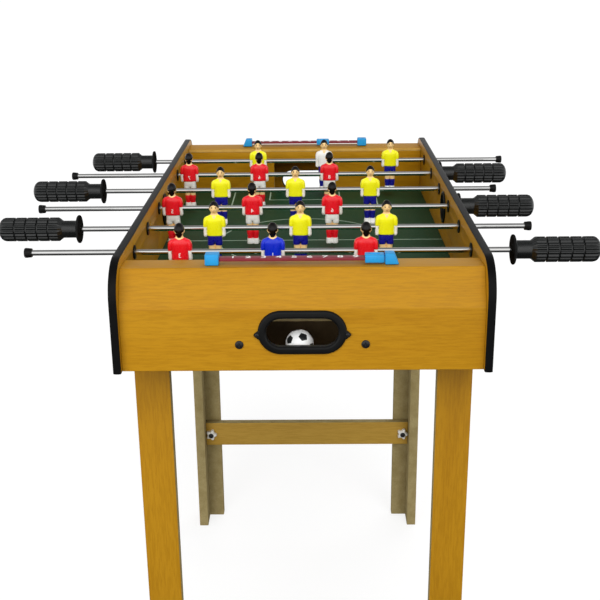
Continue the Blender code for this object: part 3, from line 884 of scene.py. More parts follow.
def make_return_rings():
    """The rings of the ball returns, the screws in their ears and the end panels' own screws."""
    ring_screw = screw_mesh(*RING_SCREW)
    panel_screw = screw_mesh(*PANEL_SCREW)
    for label, end in ENDS:
        node = f"return_ring_{label}"
        seat = faces_y(f"end_panel_{label}")[1] + GAP
        thick = faces_y(node)[1] - seat
        turn = Matrix.Rotation(-end * math.pi / 2, 4, "X")
        ring = return_ring_mesh(centre_and_half(node)[1].z, thick)
        parts = [(f"{node}_moulding", ring, 0, 0, RETURN_HEIGHT, [node])]
        for side_label, side in SIDES:
            ends = f"{label}_{side_label}"
            ear = (side * EAR_SCREW_X, thick * EAR_SHARE, RETURN_HEIGHT - EAR_DROP)
            parts.append((f"ring_screw_{ends}", ring_screw, *ear, []))
            parts.append((f"screw_{ends}", panel_screw, side * PANEL_SCREW_X, 0, PANEL_SCREW_HEIGHT, []))
        for name, mesh, x, lift, height, replaced in parts:
            place = Matrix.Translation((MIDDLE_X + x, end * (seat + lift), BASE + height)) @ turn
            piece(name, mesh, TABLE, "black_plastic", *replaced, matrix=place)


# ---------------------------------------------------------------- playfield and score rails

LINE_WIDTH = 0.0018
# Bottom and top of a line's print above the board.
LINE_FOOT, LINE_LIFT = 0.00002, 0.00012
LINE_INSET = 0.0004
CENTRE_CIRCLE = 0.108
CIRCLE_POINTS = 96
PENALTY_BOX = (0.106, 0.120)
GOAL_BOX = (0.052, 0.070)


def ribbon(shape, path, closed=False):
    """A thin printed line along a path of (x, y) points."""
    points = [Vector(p) for p in path]
    rings = []
    for i, point in enumerate(points):
        last = len(points) - 1
        before = points[i - 1] if i or closed else point
        after = points[(i + 1) % len(points)] if i < last or closed else point
        first = (point - before).normalized() if point != before else (after - point).normalized()
        second = (after - point).normalized() if after != point else first
        along = (first + second).normalized()
        across = Vector((-along.y, along.x)) * (LINE_WIDTH / 2 / max(0.3, along.dot(first)))
        low, high = FIELD_HIGH.z + LINE_FOOT, FIELD_HIGH.z + LINE_LIFT
        left, right = point + across, point - across
        corners = ((left, low), (left, high), (right, high), (right, low))
        rings.append([Vector((*spot, z)) for spot, z in corners])
    shape.skin(rings, loop=closed)


def make_playfield():
    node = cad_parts["playfield"]
    node.data.materials.clear()
    node.data.materials.append(field_green)
    lines = Shape()
    edge_x, edge_y = FIELD_HIGH.x - MIDDLE_X - LINE_INSET, FIELD_HIGH.y - LINE_INSET
    ribbon(lines, [(MIDDLE_X - edge_x, 0), (MIDDLE_X + edge_x, 0)])
    ribbon(lines, circle((MIDDLE_X, 0), CENTRE_CIRCLE, CIRCLE_POINTS), closed=True)
    for _, end in ENDS:
        for half, depth in (PENALTY_BOX, GOAL_BOX):
            start, stop = end * edge_y, end * (edge_y - depth)
            corners = [(-half, start), (-half, stop), (half, stop), (half, start)]
            ribbon(lines, [(x + MIDDLE_X, y) for x, y in corners])
    mesh = lines.mesh("field_lines", [line_white])
    piece("field_lines", mesh, TABLE, "field_green")


NUMERAL_PITCH = 0.015
NUMERAL_HEIGHT = 0.0064
NUMERAL_STRETCH = 1.45
BLOCK_LEAN = 0.0045
BAR_DEPTH = 0.0092
BAR_HEIGHT = 0.0031
BAR_LIFT = 0.0037
BAR_ROUNDING = 0.0005
NUMERAL_DEPTH = 0.0002
BLOCK_WIDTH = 0.0138
BLOCK_ROUNDING = 0.0013
SLIDER_ROUNDING = 0.0012
SLIDER_PLAY = 0.0003
GROOVE_ROUNDING = 0.0002
DIMPLE_RADII = (0.0056, 0.0030)
DIMPLE_DEPTH = 0.0016
DIMPLE_RINGS = 12


def make_score_rail(label, end):
    """Maroon bar with numerals, between a square and a leaning block."""
    middle, half = centre_and_half(f"score_rail_{label}")
    low, high = middle.z - half.z, middle.z + half.z
    turn = Matrix.Translation((middle.x, middle.y, 0)) @ Matrix.Rotation(math.pi * (end > 0), 4, "Z")
    reach, half_bar = half.x - BLOCK_WIDTH / 2, BAR_DEPTH / 2
    bar_low, bar_high = low + BAR_LIFT, low + BAR_LIFT + BAR_HEIGHT
    rail = Shape()
    rail.block((-reach, -half_bar, bar_low), (reach, half_bar, bar_high), BAR_ROUNDING, 0, turn)
    for side, lean in ((-1, 0.0), (1, BLOCK_LEAN)):
        left, right = sorted((side * half.x, side * (half.x - BLOCK_WIDTH)))
        rail.block((left, -half.y, low), (right, half.y, high), BLOCK_ROUNDING, 1, turn, lean)
    wide = Matrix.Diagonal((NUMERAL_STRETCH, 1, 1, 1))
    for i in range(10):
        place = turn @ Matrix.Translation(((i - 4.5) * NUMERAL_PITCH, 0, bar_high)) @ wide
        rail.take_mesh(numeral(str(i + 1), NUMERAL_HEIGHT, NUMERAL_DEPTH), 2, place)
    mesh = rail.mesh("score_rail", [maroon, sky_blue, numeral_white])
    clad(f"score_rail_{label}", "moulding", mesh, "score_maroon")


def make_score_slider(label):
    """Block that straddles the bar, with a dimple in its top for a fingertip."""
    node = f"score_slider_{label}"
    middle, half = centre_and_half(node)
    low, high = middle.z - half.z, middle.z + half.z
    play = BAR_DEPTH / 2 + SLIDER_PLAY
    groove_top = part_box(f"score_rail_{label}")[0].z + BAR_LIFT + BAR_HEIGHT + SLIDER_PLAY
    slider, groove, dimple = Shape(), Shape(), Shape()
    slider.block((-half.x, -half.y, low), (half.x, half.y, high), SLIDER_ROUNDING)
    groove.block((-2 * half.x, -play, low - half.z), (2 * half.x, play, groove_top), GROOVE_ROUNDING)
    rings = []
    for i in range(DIMPLE_RINGS):
        angle = math.pi * (i + 0.5) / DIMPLE_RINGS
        radii = [radius * math.sin(angle) for radius in DIMPLE_RADII]
        rings.append(oval(high - DIMPLE_DEPTH * math.cos(angle), (0, 0), radii))
    dimple.skin(rings)
    cutters = [groove.mesh("groove", []), dimple.mesh("dimple", [])]
    mesh = cut(slider.mesh("score_slider", [sky_blue]), cutters, SHARP_MOULDING)
    place = Matrix.Translation((middle.x, middle.y, 0))
    clad(node, "moulding", mesh, "score_blue", f"{label}_score_slider", place)


# ---------------------------------------------------------------- rods, handles and caps

ROD_RADIUS = 0.003
ROD_BORE = 0.002
ROD_POINTS = 36
GRIP_RADIUS = 0.0135
GRIP_RIBS = 18
RIB_DEPTH = 0.0015
RING_DEPTH = 0.0022
RING_HALF_WIDTH = 0.0010
RING_COUNT = 4
NECK_RADIUS = 0.00975
FLANGE_RADIUS = 0.01615
# The flange is dished, with a low boss round the rod.
FLANGE_DISH = 0.0022
BOSS_FOOT, BOSS_TOP = 0.0062, 0.0056
# One rib of the grip: places across it, and how deep it is cut there, both as shares.
RIB_STEPS = (0.0, 0.1, 0.22, 0.36, 0.5, 0.64, 0.78, 0.9)
RIB_CUTS = (1.0, 0.92, 0.5, 0.12, 0.0, 0.12, 0.5, 0.92)
# Where the grip's round end and each ring groove have rings of points, as shares.
ROUND_STEPS = (0.004, 0.03, 0.09, 0.2, 0.35, 0.52, 0.7, 0.86, 1)
RING_STEPS = (-2.2, -1, -0.45, 0.45, 1, 2.2)
# Places along the handle, from its outer end.
GRIP_ROUND = 0.0095
GRIP_ROUND_POWER = 2.4
BLOCK_PITCH = 0.0127
FIRST_RING = 0.0197
SHOULDER_START = 0.0693
NECK_START = 0.0733
FLANGE_START = 0.0890
# How much of the handle's end has the flange's own black.
FLANGE_PAINTED = 0.0025
ROD_CLEARANCE = 0.0003
# Rounding of the corners from the shoulder to the rod's hole, in millimetres.
SHOULDER_ROUNDING = (0, 0.8, 0.4, 0.6, 0.8, 0.6, 0.5, 0.8, 1.0, 0.4, 0.4, 0, 0)
# How deep the grooves are along the grip, as a share.
GRIP_FADE = ((0, 0), (0.004, 0.2), (0.008, 1), (SHOULDER_START - 0.002, 1), (SHOULDER_START + 0.0015, 0))
CAP_POINTS = 64
CAP_ROUNDING = (0, 0.0012, 0.0012, 0.0004, 0, 0)
CAP_RIB = 0.00022
CAP_RIBS_FROM, CAP_RIBS_TO = -0.0065, -0.0016


def grip_base(along):
    """Radius of the grip without its grooves."""
    if along < GRIP_ROUND:
        share = 1 - along / GRIP_ROUND
        return GRIP_RADIUS * math.sqrt(1 - share**GRIP_ROUND_POWER)
    if along < SHOULDER_START:
        return GRIP_RADIUS
    share = (along - SHOULDER_START) / (NECK_START - SHOULDER_START)
    return GRIP_RADIUS + (NECK_RADIUS - GRIP_RADIUS) * min(1.0, share)


def grip_rings(angles):
    """Rings of the ribbed grip, from its outer end to its shoulder."""
    rings_at = [FIRST_RING + i * BLOCK_PITCH for i in range(RING_COUNT)]
    stations = [GRIP_ROUND * step for step in ROUND_STEPS]
    for ring in rings_at:
        stations += [ring + RING_HALF_WIDTH * step for step in RING_STEPS]
    stations += [SHOULDER_START - 0.002, SHOULDER_START - 0.0006]
    rings = []
    for along in stations:
        near = min(abs(along - ring) for ring in rings_at)
        ring_cut = RING_DEPTH * (near < RING_HALF_WIDTH * 0.9)
        fade = RIB_DEPTH * between(GRIP_FADE, along)
        ring = []
        for i, angle in enumerate(angles):
            groove = RIB_CUTS[i % len(RIB_CUTS)] * fade
            radius = max(grip_base(along) - max(groove, ring_cut), 0.0002)
            ring.append(Vector((radius * math.cos(angle), radius * math.sin(angle), -along)))
        rings.append(ring)
    return rings


def handle_mesh(length):
    """Grip in five ribbed blocks, a shoulder, a neck and a dished flange. The outer end is at
    height 0 and the flange at -length."""
    angles = [2 * math.pi * (rib + step) / GRIP_RIBS for rib in range(GRIP_RIBS) for step in RIB_STEPS]
    # Radius and place along the handle, from the shoulder to the rod's hole in the flange.
    profile = [
        (GRIP_RADIUS, SHOULDER_START),
        (NECK_RADIUS, NECK_START),
        (NECK_RADIUS, FLANGE_START - 0.0003),
        (NECK_RADIUS + 0.0012, FLANGE_START),
        (FLANGE_RADIUS - 0.0006, FLANGE_START + 0.0012),
        (FLANGE_RADIUS, length - 0.0010),
        (FLANGE_RADIUS - 0.0008, length),
        (FLANGE_RADIUS - 0.0022, length - 0.0008),
        (NECK_RADIUS, length - FLANGE_DISH),
        (BOSS_FOOT, length - FLANGE_DISH),
        (BOSS_TOP, length - 0.0004),
        (ROD_RADIUS + ROD_CLEARANCE, length - 0.0004),
        (ROD_RADIUS + ROD_CLEARANCE, length - 0.008),
    ]
    rings = grip_rings(angles)
    radii = [size * MM for size in SHOULDER_ROUNDING]
    for radius, along in rounded(profile, radii, 3, closed=False)[1:]:
        rings.append([Vector((radius * math.cos(a), radius * math.sin(a), -along)) for a in angles])
    handle = Shape()
    handle.skin(rings)
    mesh = handle.mesh("handle", [grip_black, flange_black], SHARP_TURNED)
    for side in mesh.polygons:
        side.material_index = int(side.center.z < FLANGE_PAINTED - length)
    return mesh


def cap_mesh(length, radius):
    """End cap with fine ribs round its side. The outer end is at height 0, the rod's side below."""
    outline = [
        (0.0003, 0),
        (radius - 0.0002, 0),
        (radius, -0.0022),
        (radius - 0.0006, GAP - length),
        (ROD_RADIUS + 0.0002, GAP - length),
        (ROD_RADIUS + 0.0002, -0.003),
    ]

    def ribbed(reach, height, i):
        on_side = CAP_RIBS_FROM < height < CAP_RIBS_TO and reach > radius * 0.8
        return reach - (CAP_RIB if on_side and i % 4 == 0 else 0)

    cap = Shape()
    profile = rounded(outline, CAP_ROUNDING, 3, closed=False)
    cap.skin(spun(profile, CAP_POINTS, shaped=ribbed))
    return cap.mesh("end_cap", [black], SHARP_MOULDING)


def make_rods():
    """Tubes, with a handle at one end and a cap at the other, which slides but doesn't turn."""
    handle = handle_mesh(2 * centre_and_half("handle_1")[1].x)
    _, half = centre_and_half("end_cap_1")
    cap = cap_mesh(2 * half.x, half.z)
    for number in RODS:
        side = 1 if number in RED_RODS else -1
        body = f"rod_{number}_assembly"
        centre, half = centre_and_half(f"rod_{number}")
        outline = [(ROD_RADIUS, half.x), (ROD_RADIUS, -half.x), (ROD_BORE, -half.x), (ROD_BORE, half.x)]
        tube = collar("rod", outline, chrome, ROD_POINTS, sharp=SHARP_TURNED)
        clad(f"rod_{number}", "tube", tube, "chrome", body, Matrix.Translation(centre) @ TURN_TO_X)
        grip = (f"handle_{number}", "grip", handle, body, side)
        end_cap = (f"end_cap_{number}", "moulding", cap, f"rod_{number}_carriage", -side)
        for node, kind, mesh, body, outwards in (grip, end_cap):
            middle, half = centre_and_half(node)
            spot = (middle.x + outwards * half.x, centre.y, centre.z)
            place = Matrix.Translation(spot) @ Matrix.Rotation(outwards * math.pi / 2, 4, "Y")
            clad(node, kind, mesh, "black_plastic", body, place)


# ---------------------------------------------------------------- players
# Sizes of a player are in millimetres from the rod's axis. It faces +Y.
# Rows: height, sideways, forwards, half width, half depth, squareness.

SHIRT, SKIN, PALE, HAIR, SHORTS, SOCKS, BOOTS, LIPS, NUMBER, LEGS = range(10)

TORSO = (
    (-8.0, 0, 0, 8.5, 5.0, 3.0),
    (-7.4, 0, 0, 9.0, 5.6, 3.0),
    (-3.0, 0, 0, 8.9, 5.5, 2.9),
    (3.0, 0, 0, 9.4, 5.7, 2.8),
    (9.0, 0, 0, 10.2, 5.8, 2.7),
    (12.0, 0, 0, 9.8, 5.2, 2.5),
    (14.2, 0, 0, 7.4, 4.4, 2.3),
    (15.7, 0, 0, 4.6, 3.6, 2.0),
)
SLEEVE = (
    (2.2, 10.5, 0, 1.9, 4.2, 2.6),
    (2.8, 10.5, 0, 2.4, 4.7, 2.6),
    (7.0, 10.2, 0, 2.6, 4.7, 2.5),
    (10.6, 9.5, 0, 2.7, 4.3, 2.3),
    (12.8, 8.2, 0, 2.4, 3.5, 2.1),
    (14.0, 6.9, 0, 1.4, 2.2, 2.0),
)
FOREARM = (
    (-9.6, 10.3, 0.8, 0.9, 1.2, 2.0),
    (-9.0, 10.4, 0.7, 1.8, 2.4, 2.2),
    (-7.0, 10.6, 0.4, 2.2, 3.2, 2.3),
    (-4.6, 10.6, 0.1, 2.1, 3.4, 2.4),
    (0.0, 10.6, 0, 2.2, 4.0, 2.6),
    (3.2, 10.5, 0, 2.2, 4.0, 2.6),
)
HIPS = (
    (-15.6, 0, 0, 8.2, 4.4, 3.2),
    (-14.8, 0, 0, 8.5, 4.8, 3.2),
    (-11.0, 0, 0, 8.4, 4.9, 3.0),
    (-7.6, 0, 0, 8.2, 4.8, 3.0),
)
SHORTS_LEG = (
    (-19.2, 4.4, 0, 3.9, 4.6, 2.8),
    (-18.6, 4.4, 0, 4.25, 4.9, 2.8),
    (-14.6, 4.3, 0, 4.2, 4.8, 2.8),
)
THIGH = (
    (-28.4, 3.6, 0, 3.5, 3.6, 2.4),
    (-24.0, 3.6, 0, 3.8, 3.9, 2.4),
    (-18.4, 3.8, 0, 3.9, 4.2, 2.4),
)
SOCK = (
    (-38.8, 3.4, 0, 3.2, 3.1, 2.3),
    (-36.0, 3.4, 0, 3.4, 3.3, 2.3),
    (-32.0, 3.6, -0.2, 3.8, 3.9, 2.3),
    (-28.4, 3.6, 0, 3.8, 3.9, 2.4),
    (-27.6, 3.6, 0, 3.5, 3.6, 2.4),
)
BOOT = (
    (-45.0, 3.7, 1.5, 3.5, 6.0, 2.8),
    (-44.4, 3.7, 1.5, 3.8, 6.4, 2.8),
    (-42.6, 3.7, 1.4, 3.8, 6.3, 2.6),
    (-41.0, 3.7, 0.8, 3.7, 5.4, 2.4),
    (-39.4, 3.6, -0.2, 3.6, 4.1, 2.3),
    (-38.0, 3.5, -0.3, 3.4, 3.7, 2.3),
)
BOOT_ARCH = (
    (-44.6, 0, 1.0, 2.2, 4.6, 2.6),
    (-42.2, 0, 0.6, 2.2, 4.4, 2.6),
    (-39.6, 0, 0.0, 1.6, 3.0, 2.4),
)
NECK = (
    (14.4, 0, -0.2, 4.3, 3.6, 2.0),
    (16.4, 0, -0.2, 3.8, 3.3, 2.0),
    (18.6, 0, -0.2, 3.6, 3.3, 2.0),
    (20.6, 0, -0.2, 3.6, 3.2, 2.0),
)
NAPE = (
    (15.6, 0, -2.9, 1.5, 0.9, 2.0),
    (17.4, 0, -3.3, 2.4, 1.1, 2.0),
    (19.4, 0, -4.1, 3.4, 1.5, 2.0),
    (21.0, 0, -4.7, 4.0, 1.4, 2.0),
)
COLLAR = (
    (13.6, 0, -0.3, 5.6, 4.2, 2.2),
    (15.2, 0, -0.3, 4.9, 3.9, 2.1),
    (16.9, 0, -0.2, 3.9, 3.4, 2.0),
)
HEAD_CENTRE = Vector((0, 0, 23.6))
HEAD_RADII = (5.2, 6.0, 7.4)
JAW_TAPER = 0.14
HAIR_THICKNESS = 0.35
HAIR_WAVE = 0.12
HAIR_SHARES = (0.02, 0.15, 0.3, 0.45, 0.6, 0.75, 0.88, 0.96, 1.0)
# The hair's edge lies this far inside the head.
HAIR_SUNK = -0.3
HEAD_POINTS = 24
HEAD_RINGS = 14
# Angle from the back of the head, and how far down from the crown the hair reaches there.
HAIRLINE = ((0, 146), (16, 140), (28, 116), (45, 102), (95, 96), (125, 84), (145, 66), (180, 58))
# Place, radii and paint of each small feature. The ones off the middle come in pairs.
FEATURES = (
    ((0, 5.8, 22.6), (0.9, 1.1, 1.7), SKIN),
    ((5.05, -0.4, 22.8), (0.7, 1.2, 1.8), SKIN),
    ((2.0, 5.35, 24.2), (0.8, 0.45, 0.55), HAIR),
    ((2.1, 5.35, 25.7), (1.2, 0.4, 0.3), HAIR),
    ((0, 5.2, 19.9), (1.35, 0.45, 0.34), LIPS),
)
# The skin in the collar's V: its lowest point, its height, half its width at the top, and how far it
# stands out of the shirt and reaches into it.
V_LOW, V_HEIGHT, V_HALF_WIDTH = 11.6, 4.3, 2.9
V_OUT, V_IN = 0.22, 0.8
# Shirt, shorts, thighs, socks, forearms and number of each dress.
DRESSES = {
    "red": (red_paint, white_paint, skin, red_paint, pale_skin, numeral_white),
    "yellow": (yellow_paint, navy_paint, skin, navy_paint, pale_skin, navy_paint),
    "keeper_blue": (blue_paint, white_paint, skin, blue_paint, pale_skin, numeral_white),
    "keeper_white": (white_paint, navy_paint, skin, navy_paint, pale_skin, navy_paint),
}
NUMBERS = {"left": 2, "middle": 1, "right": 3}
NUMBER_DEPTH = 5.45
NUMBER_HEIGHT = -2.8
NUMBER_SIZE = 4.8
NUMBER_THICKNESS = 0.5


def loft(shape, rows, place, mirrored=False, steps=2, count=20):
    """Skins smooth ovals through the rows, and on the other side too if mirrored."""
    for side in (1, -1) if mirrored else (1,):
        rings = [
            oval(height, (side * across, forward), (max(width, 0.1), max(depth, 0.1)), power, count)
            for height, across, forward, width, depth, power in smooth_rows(rows, steps)
        ]
        shape.skin(rings, place)


def head_point(polar, around, thicker=0.0):
    """Point on the head: polar from the crown, around from +X through +Y, in radians."""
    down = max(0.0, -math.cos(polar))
    narrow = 1 - JAW_TAPER * down * down
    across = HEAD_RADII[0] * math.sin(polar) * math.cos(around) * narrow
    deep = HEAD_RADII[1] * math.sin(polar) * math.sin(around)
    if math.sin(around) > 0:
        deep *= narrow
    point = Vector((across, deep, HEAD_RADII[2] * math.cos(polar)))
    return HEAD_CENTRE + point * (1 + thicker / point.length)


def add_head(shape):
    around = [2 * math.pi * i / HEAD_POINTS for i in range(HEAD_POINTS)]
    polars = [math.pi * (i + 0.3) / HEAD_RINGS for i in range(HEAD_RINGS)]
    shape.skin([[head_point(p, a) for a in around] for p in polars], SKIN)
    rings = []
    for share in HAIR_SHARES:
        ring = []
        for angle in around:
            from_back = abs((math.degrees(angle) + 270) % 360 - 180)
            polar = math.radians(between(HAIRLINE, from_back)) * share
            thicker = HAIR_THICKNESS if share < 1 else HAIR_SUNK
            wave = HAIR_WAVE * math.sin(7 * angle) * math.sin(polar) if share < 0.9 else 0
            ring.append(head_point(polar, angle, thicker + wave))
        rings.append(ring)
    shape.skin(rings, HAIR)
    for (across, forward, height), (wide, deep, high), paint in FEATURES:
        for side in (1, -1) if across else (1,):
            rings = []
            for i in range(7):
                polar = math.pi * (i + 0.35) / 6.7
                radii = (wide * math.sin(polar), deep * math.sin(polar))
                level = height + high * math.cos(polar)
                rings.append(oval(level, (side * across, forward), radii, 2.0, 10))
            shape.skin(rings, paint)


def front_of_torso(height, across):
    """How far forward the shirt's surface is."""
    for low, high in zip(TORSO, TORSO[1:]):
        if low[0] <= height <= high[0]:
            share = (height - low[0]) / (high[0] - low[0])
            row = [a + (b - a) * share for a, b in zip(low, high)]
            reach = min(1.0, abs(across) / row[3]) ** row[5]
            return row[4] * (1 - reach) ** (1 / row[5])
    return 0.0


def add_neckline(shape):
    """Skin in the V of the collar."""
    rings = []
    for i in range(7):
        height = V_LOW + V_HEIGHT * i / 6
        half = 0.15 + V_HALF_WIDTH * i / 6
        spots = [(x, front_of_torso(height, x)) for x in (-half, -half / 2, 0, half / 2, half)]
        front = [Vector((x, y + V_OUT, height)) for x, y in spots]
        back = [Vector((x, y - V_IN, height)) for x, y in reversed(spots)]
        rings.append(front + back)
    shape.skin(rings, SKIN)


def player_shape(number):
    shape = Shape()
    loft(shape, TORSO, SHIRT, count=28)
    loft(shape, SLEEVE, SHIRT, True)
    loft(shape, FOREARM, PALE, True)
    loft(shape, HIPS, SHORTS, steps=1, count=24)
    loft(shape, SHORTS_LEG, SHORTS, True, steps=1)
    loft(shape, THIGH, LEGS, True, steps=1)
    loft(shape, SOCK, SOCKS, True)
    loft(shape, BOOT, BOOTS, True)
    loft(shape, BOOT_ARCH, BOOTS, steps=1, count=12)
    loft(shape, NECK, SKIN, steps=1)
    loft(shape, COLLAR, SKIN, steps=1)
    loft(shape, NAPE, HAIR, count=14)
    add_neckline(shape)
    add_head(shape)
    turn = Matrix.Rotation(math.pi, 4, "Z") @ Matrix.Rotation(math.pi / 2, 4, "X")
    place = Matrix.Translation((0, -NUMBER_DEPTH, NUMBER_HEIGHT)) @ turn
    shape.take_mesh(numeral(str(number), NUMBER_SIZE, NUMBER_THICKNESS), NUMBER, place)
    return shape


def make_players():
    for number in RODS:
        team = "red" if number in RED_RODS else "yellow"
        centre, _ = centre_and_half(f"rod_{number}")
        facing = Matrix.Rotation(0 if team == "red" else math.pi, 4, "Z")
        for place in PLACES:
            dress = KEEPERS.get(number, team) if place == "middle" else team
            node = f"player_{number}_{place}"
            shirt, shorts, thighs, socks, arms, digits = DRESSES[dress]
            paints = [shirt, skin, arms, hair, shorts, socks, white_paint, lips, digits, thighs]
            shape = player_shape(1 if dress.startswith("keeper") else NUMBERS[place] + number)
            shape.points = [p * MM for p in shape.points]
            mesh = shape.mesh("player", paints, SHARP_PLAYER, PLAYER_WELD)
            spot = Matrix.Translation((centre_and_half(node)[0].x, centre.y, centre.z)) @ facing
            clad(node, "figure", mesh, dress, f"rod_{number}_assembly", spot)


# ---------------------------------------------------------------- ball

BALL_PANEL_STEPS = 4
BALL_SEAM = 0.00022
# Rings of a patch from its edge inwards: how far out it is, as a share, and how far it is sunk.
BALL_RINGS = ((1.0, BALL_SEAM), (0.95, 0.00004), (0.88, 0), (0.6, 0), (0.3, 0))
# Cutting a third off each edge of an icosahedron leaves regular patches.
BALL_CUT_PERCENT = 100 / 3
# Directions of two neighbouring black patches.
BALL_SPOTS = ((0.276, -0.603, 0.749), (-0.69, -0.507, 0.516))


def axes_of(first, second):
    """Three square axes: along first, towards second, and across both."""
    one = Vector(first).normalized()
    two = (Vector(second) - one * one.dot(Vector(second))).normalized()
    return Matrix((one, two, one.cross(two))).transposed()


def ball_patches():
    """Corners of a ball's twelve pentagons and twenty hexagons, turned to the spots."""
    solid = bmesh.new()
    bmesh.ops.create_icosphere(solid, subdivisions=1, radius=1)
    corners = solid.verts[:]
    second = corners[0].link_edges[0].other_vert(corners[0])
    turn = axes_of(*BALL_SPOTS) @ axes_of(corners[0].co, second.co).transposed()
    share = {"offset": BALL_CUT_PERCENT, "offset_type": "PERCENT"}
    bmesh.ops.bevel(solid, geom=corners, segments=1, affect="VERTICES", **share)
    patches = [[turn @ v.co for v in face.verts] for face in solid.faces]
    solid.free()
    return patches


def make_ball():
    """Twelve black and twenty white patches with sunk seams, projected on a sphere."""
    centre, half = centre_and_half("ball")
    radius = half.z
    ball = Shape()
    for corners in ball_patches():
        middle = sum(corners, Vector()) / len(corners)
        edge = []
        for a, b in zip(corners, corners[1:] + corners[:1]):
            edge += [a.lerp(b, k / BALL_PANEL_STEPS) for k in range(BALL_PANEL_STEPS)]
        points = []
        for share, sink in BALL_RINGS:
            points += [middle.lerp(p, share).normalized() * (radius - sink) for p in edge]
        count = len(edge)
        last = len(points) - count
        pairs = [(i, (i + 1) % count) for i in range(count)]
        faces = []
        for a in range(0, last, count):
            faces += [(a + i, a + k, a + count + k, a + count + i) for i, k in pairs]
        faces += [(last + i, last + k, len(points)) for i, k in pairs]
        points.append(middle.normalized() * radius)
        ball.add(points, faces, 1 if len(corners) == 5 else 0)
    mesh = ball.mesh("ball", [ball_white, ball_black], SHARP_BALL, PLATE_WELD)
    clad("ball", "patches", mesh, "ball_white", "ball", Matrix.Translation(centre))


# ---------------------------------------------------------------- camera, light and floor

CAMERA_FROM_MIDDLE = Vector((0.0094, -1.2798, 0.3981))
CAMERA_PITCH = 19.109
CAMERA_YAW = -0.690
CAMERA_ROLL = 0.598
CAMERA_LENS = 62.11
SENSOR_WIDTH = 36
CAMERA_REACH = 200


def make_camera():
    data = bpy.data.cameras.new("camera")
    data.lens = CAMERA_LENS
    data.sensor_width = SENSOR_WIDTH
    data.clip_end = CAMERA_REACH
    camera = linked("camera", data)
    yaw = Matrix.Rotation(math.radians(-CAMERA_YAW), 4, "Z")
    pitch = Matrix.Rotation(math.radians(90 - CAMERA_PITCH), 4, "X")
    roll = Matrix.Rotation(math.radians(-CAMERA_ROLL), 4, "Z")
    spot = Vector((MIDDLE_X, 0, BASE)) + CAMERA_FROM_MIDDLE
    camera.matrix_world = Matrix.Translation(spot) @ yaw @ pitch @ roll
    bpy.context.scene.camera = camera


# Strength, direction and spread in degrees of the key light, and of the fill lights behind the table
# and under it.
SUNS = ((1.5, (-0.16, 0.87, -1.0), 40), (1.3, (-0.35, -1.0, -0.60), 60), (0.45, (0.1, 0.3, 1.0), 60))
# A soft lamp near the front left corner: power, width, place and the point it faces.
LAMP_POWER = 6.5
LAMP_WIDTH = 0.8
LAMP_PLACE = (-0.75, -1.35, 0.95)
LAMP_TARGET = (0.0, -0.34, 0.52)
# Brightness of the studio above the horizon, by the Y part of the direction: 0 is the front and 1 the
# back.
STUDIO = ((0.0, 0.9), (0.08, 1.15), (0.16, 0.95), (0.28, 0.36), (0.5, 0.16), (0.92, 0.26), (1.0, 0.5))
# What the two sides add, by the X part of the direction.
STUDIO_SIDES = ((0.0, 0.45), (0.28, 0.0), (0.72, 0.0), (1.0, 0.45))
STUDIO_HORIZON = 1.0
STUDIO_BELOW = 0.05
# Z parts of the direction between which the horizon turns into the studio, and the dark into it.
HORIZON_EDGE = (0.03, 0.12)
BELOW_EDGE = (-0.50, -0.04)


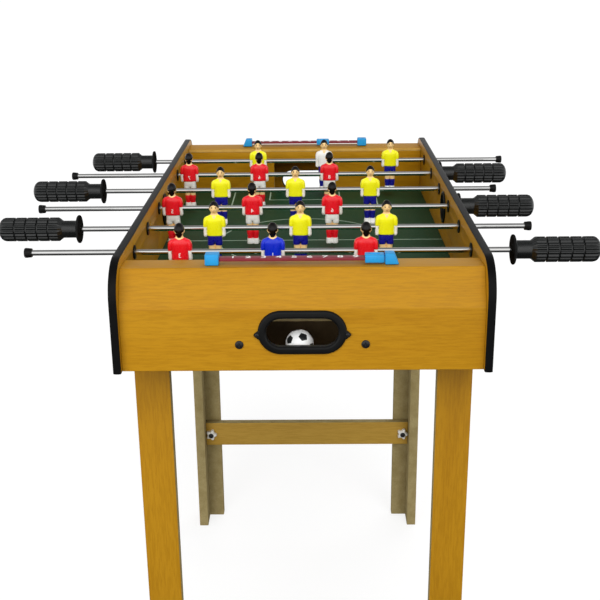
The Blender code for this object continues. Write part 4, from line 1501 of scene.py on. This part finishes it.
def make_world():
    """Bright in front, dimmer overhead and behind, white along the horizon and dark below it."""
    world = bpy.data.worlds.new("studio")
    bpy.context.scene.world = world
    world.use_nodes = True
    sky = Nodes(world.node_tree)
    direction = sky.node("ShaderNodeTexCoord", {}).outputs["Generated"]
    parts = sky.node("ShaderNodeSeparateXYZ", {"Vector": direction}).outputs

    def levels(axis, stops):
        share = sky.span(parts[axis], 0, 1, -1, 1)
        return sky.ramp(share, *[(at, (level, level, level)) for at, level in stops])

    def over(level, edge, above):
        share = sky.span(parts["Z"], 0, 1, *edge, "SMOOTHSTEP")
        return sky.blend((level, level, level, 1), above, share)

    upper = sky.blend(levels("Y", STUDIO), levels("X", STUDIO_SIDES), 1.0, "ADD")
    whole = over(STUDIO_BELOW, BELOW_EDGE, over(STUDIO_HORIZON, HORIZON_EDGE, upper))
    sky.feed(sky.tree.nodes["Background"], {"Color": whole})


def make_lamp(name, kind, energy, facing):
    """A light that faces a direction, and isn't mirrored in the rods."""
    light = bpy.data.lights.new(name, kind)
    light.energy = energy
    lamp = linked(name, light)
    lamp.rotation_euler = Vector(facing).to_track_quat("-Z", "Y").to_euler()
    lamp.visible_glossy = False
    return lamp


def make_lights():
    bpy.context.scene.view_settings.view_transform = "Standard"
    for strength, direction, spread in SUNS:
        sun = make_lamp("sun", "SUN", strength, direction)
        sun.data.angle = math.radians(spread)
    near = make_lamp("near_lamp", "AREA", LAMP_POWER, Vector(LAMP_TARGET) - Vector(LAMP_PLACE))
    near.data.shape = "DISK"
    near.data.size = LAMP_WIDTH
    near.location = LAMP_PLACE
    near.visible_camera = False


FLOOR_RADIUS = 60
FLOOR_GLOW = 0.80
FLOOR_GREYS = (0.24, 0.26)
FLOOR_CLOUD = 0.8
FLOOR_POINTS = 64


def make_floor():
    look = Look("pale_floor", 0.9, specular=0.0)
    dark, light = [(grey, grey, grey) for grey in FLOOR_GREYS]
    colour = look.ramp(look.noise(FLOOR_CLOUD), (0.3, dark), (0.7, light))
    glow = {"Emission Color": (1, 1, 1, 1), "Emission Strength": FLOOR_GLOW}
    look.feed(look.shader, {"Base Color": colour, **glow})
    disc = Shape()
    edge = [(x, y, 0) for x, y in circle((0, 0), FLOOR_RADIUS, FLOOR_POINTS)]
    disc.add(edge, [tuple(range(FLOOR_POINTS))])
    floor = linked("floor", disc.mesh("floor", [look.material]))
    floor.visible_glossy = False
    floor.visible_diffuse = False
    floor.visible_shadow = False


def main():
    make_camera()
    make_lights()
    make_world()
    make_floor()
    for label, _ in SIDES:
        make_side(label)
    for label, end in ENDS:
        make_end_panel(label, end)
        make_goal_wall(label, end)
        make_score_rail(label, end)
        make_score_slider(label)
    make_legs()
    make_crossbars()
    make_playfield()
    make_bushings()
    make_serve_rings()
    make_return_rings()
    make_rods()
    make_players()
    make_ball()


main()
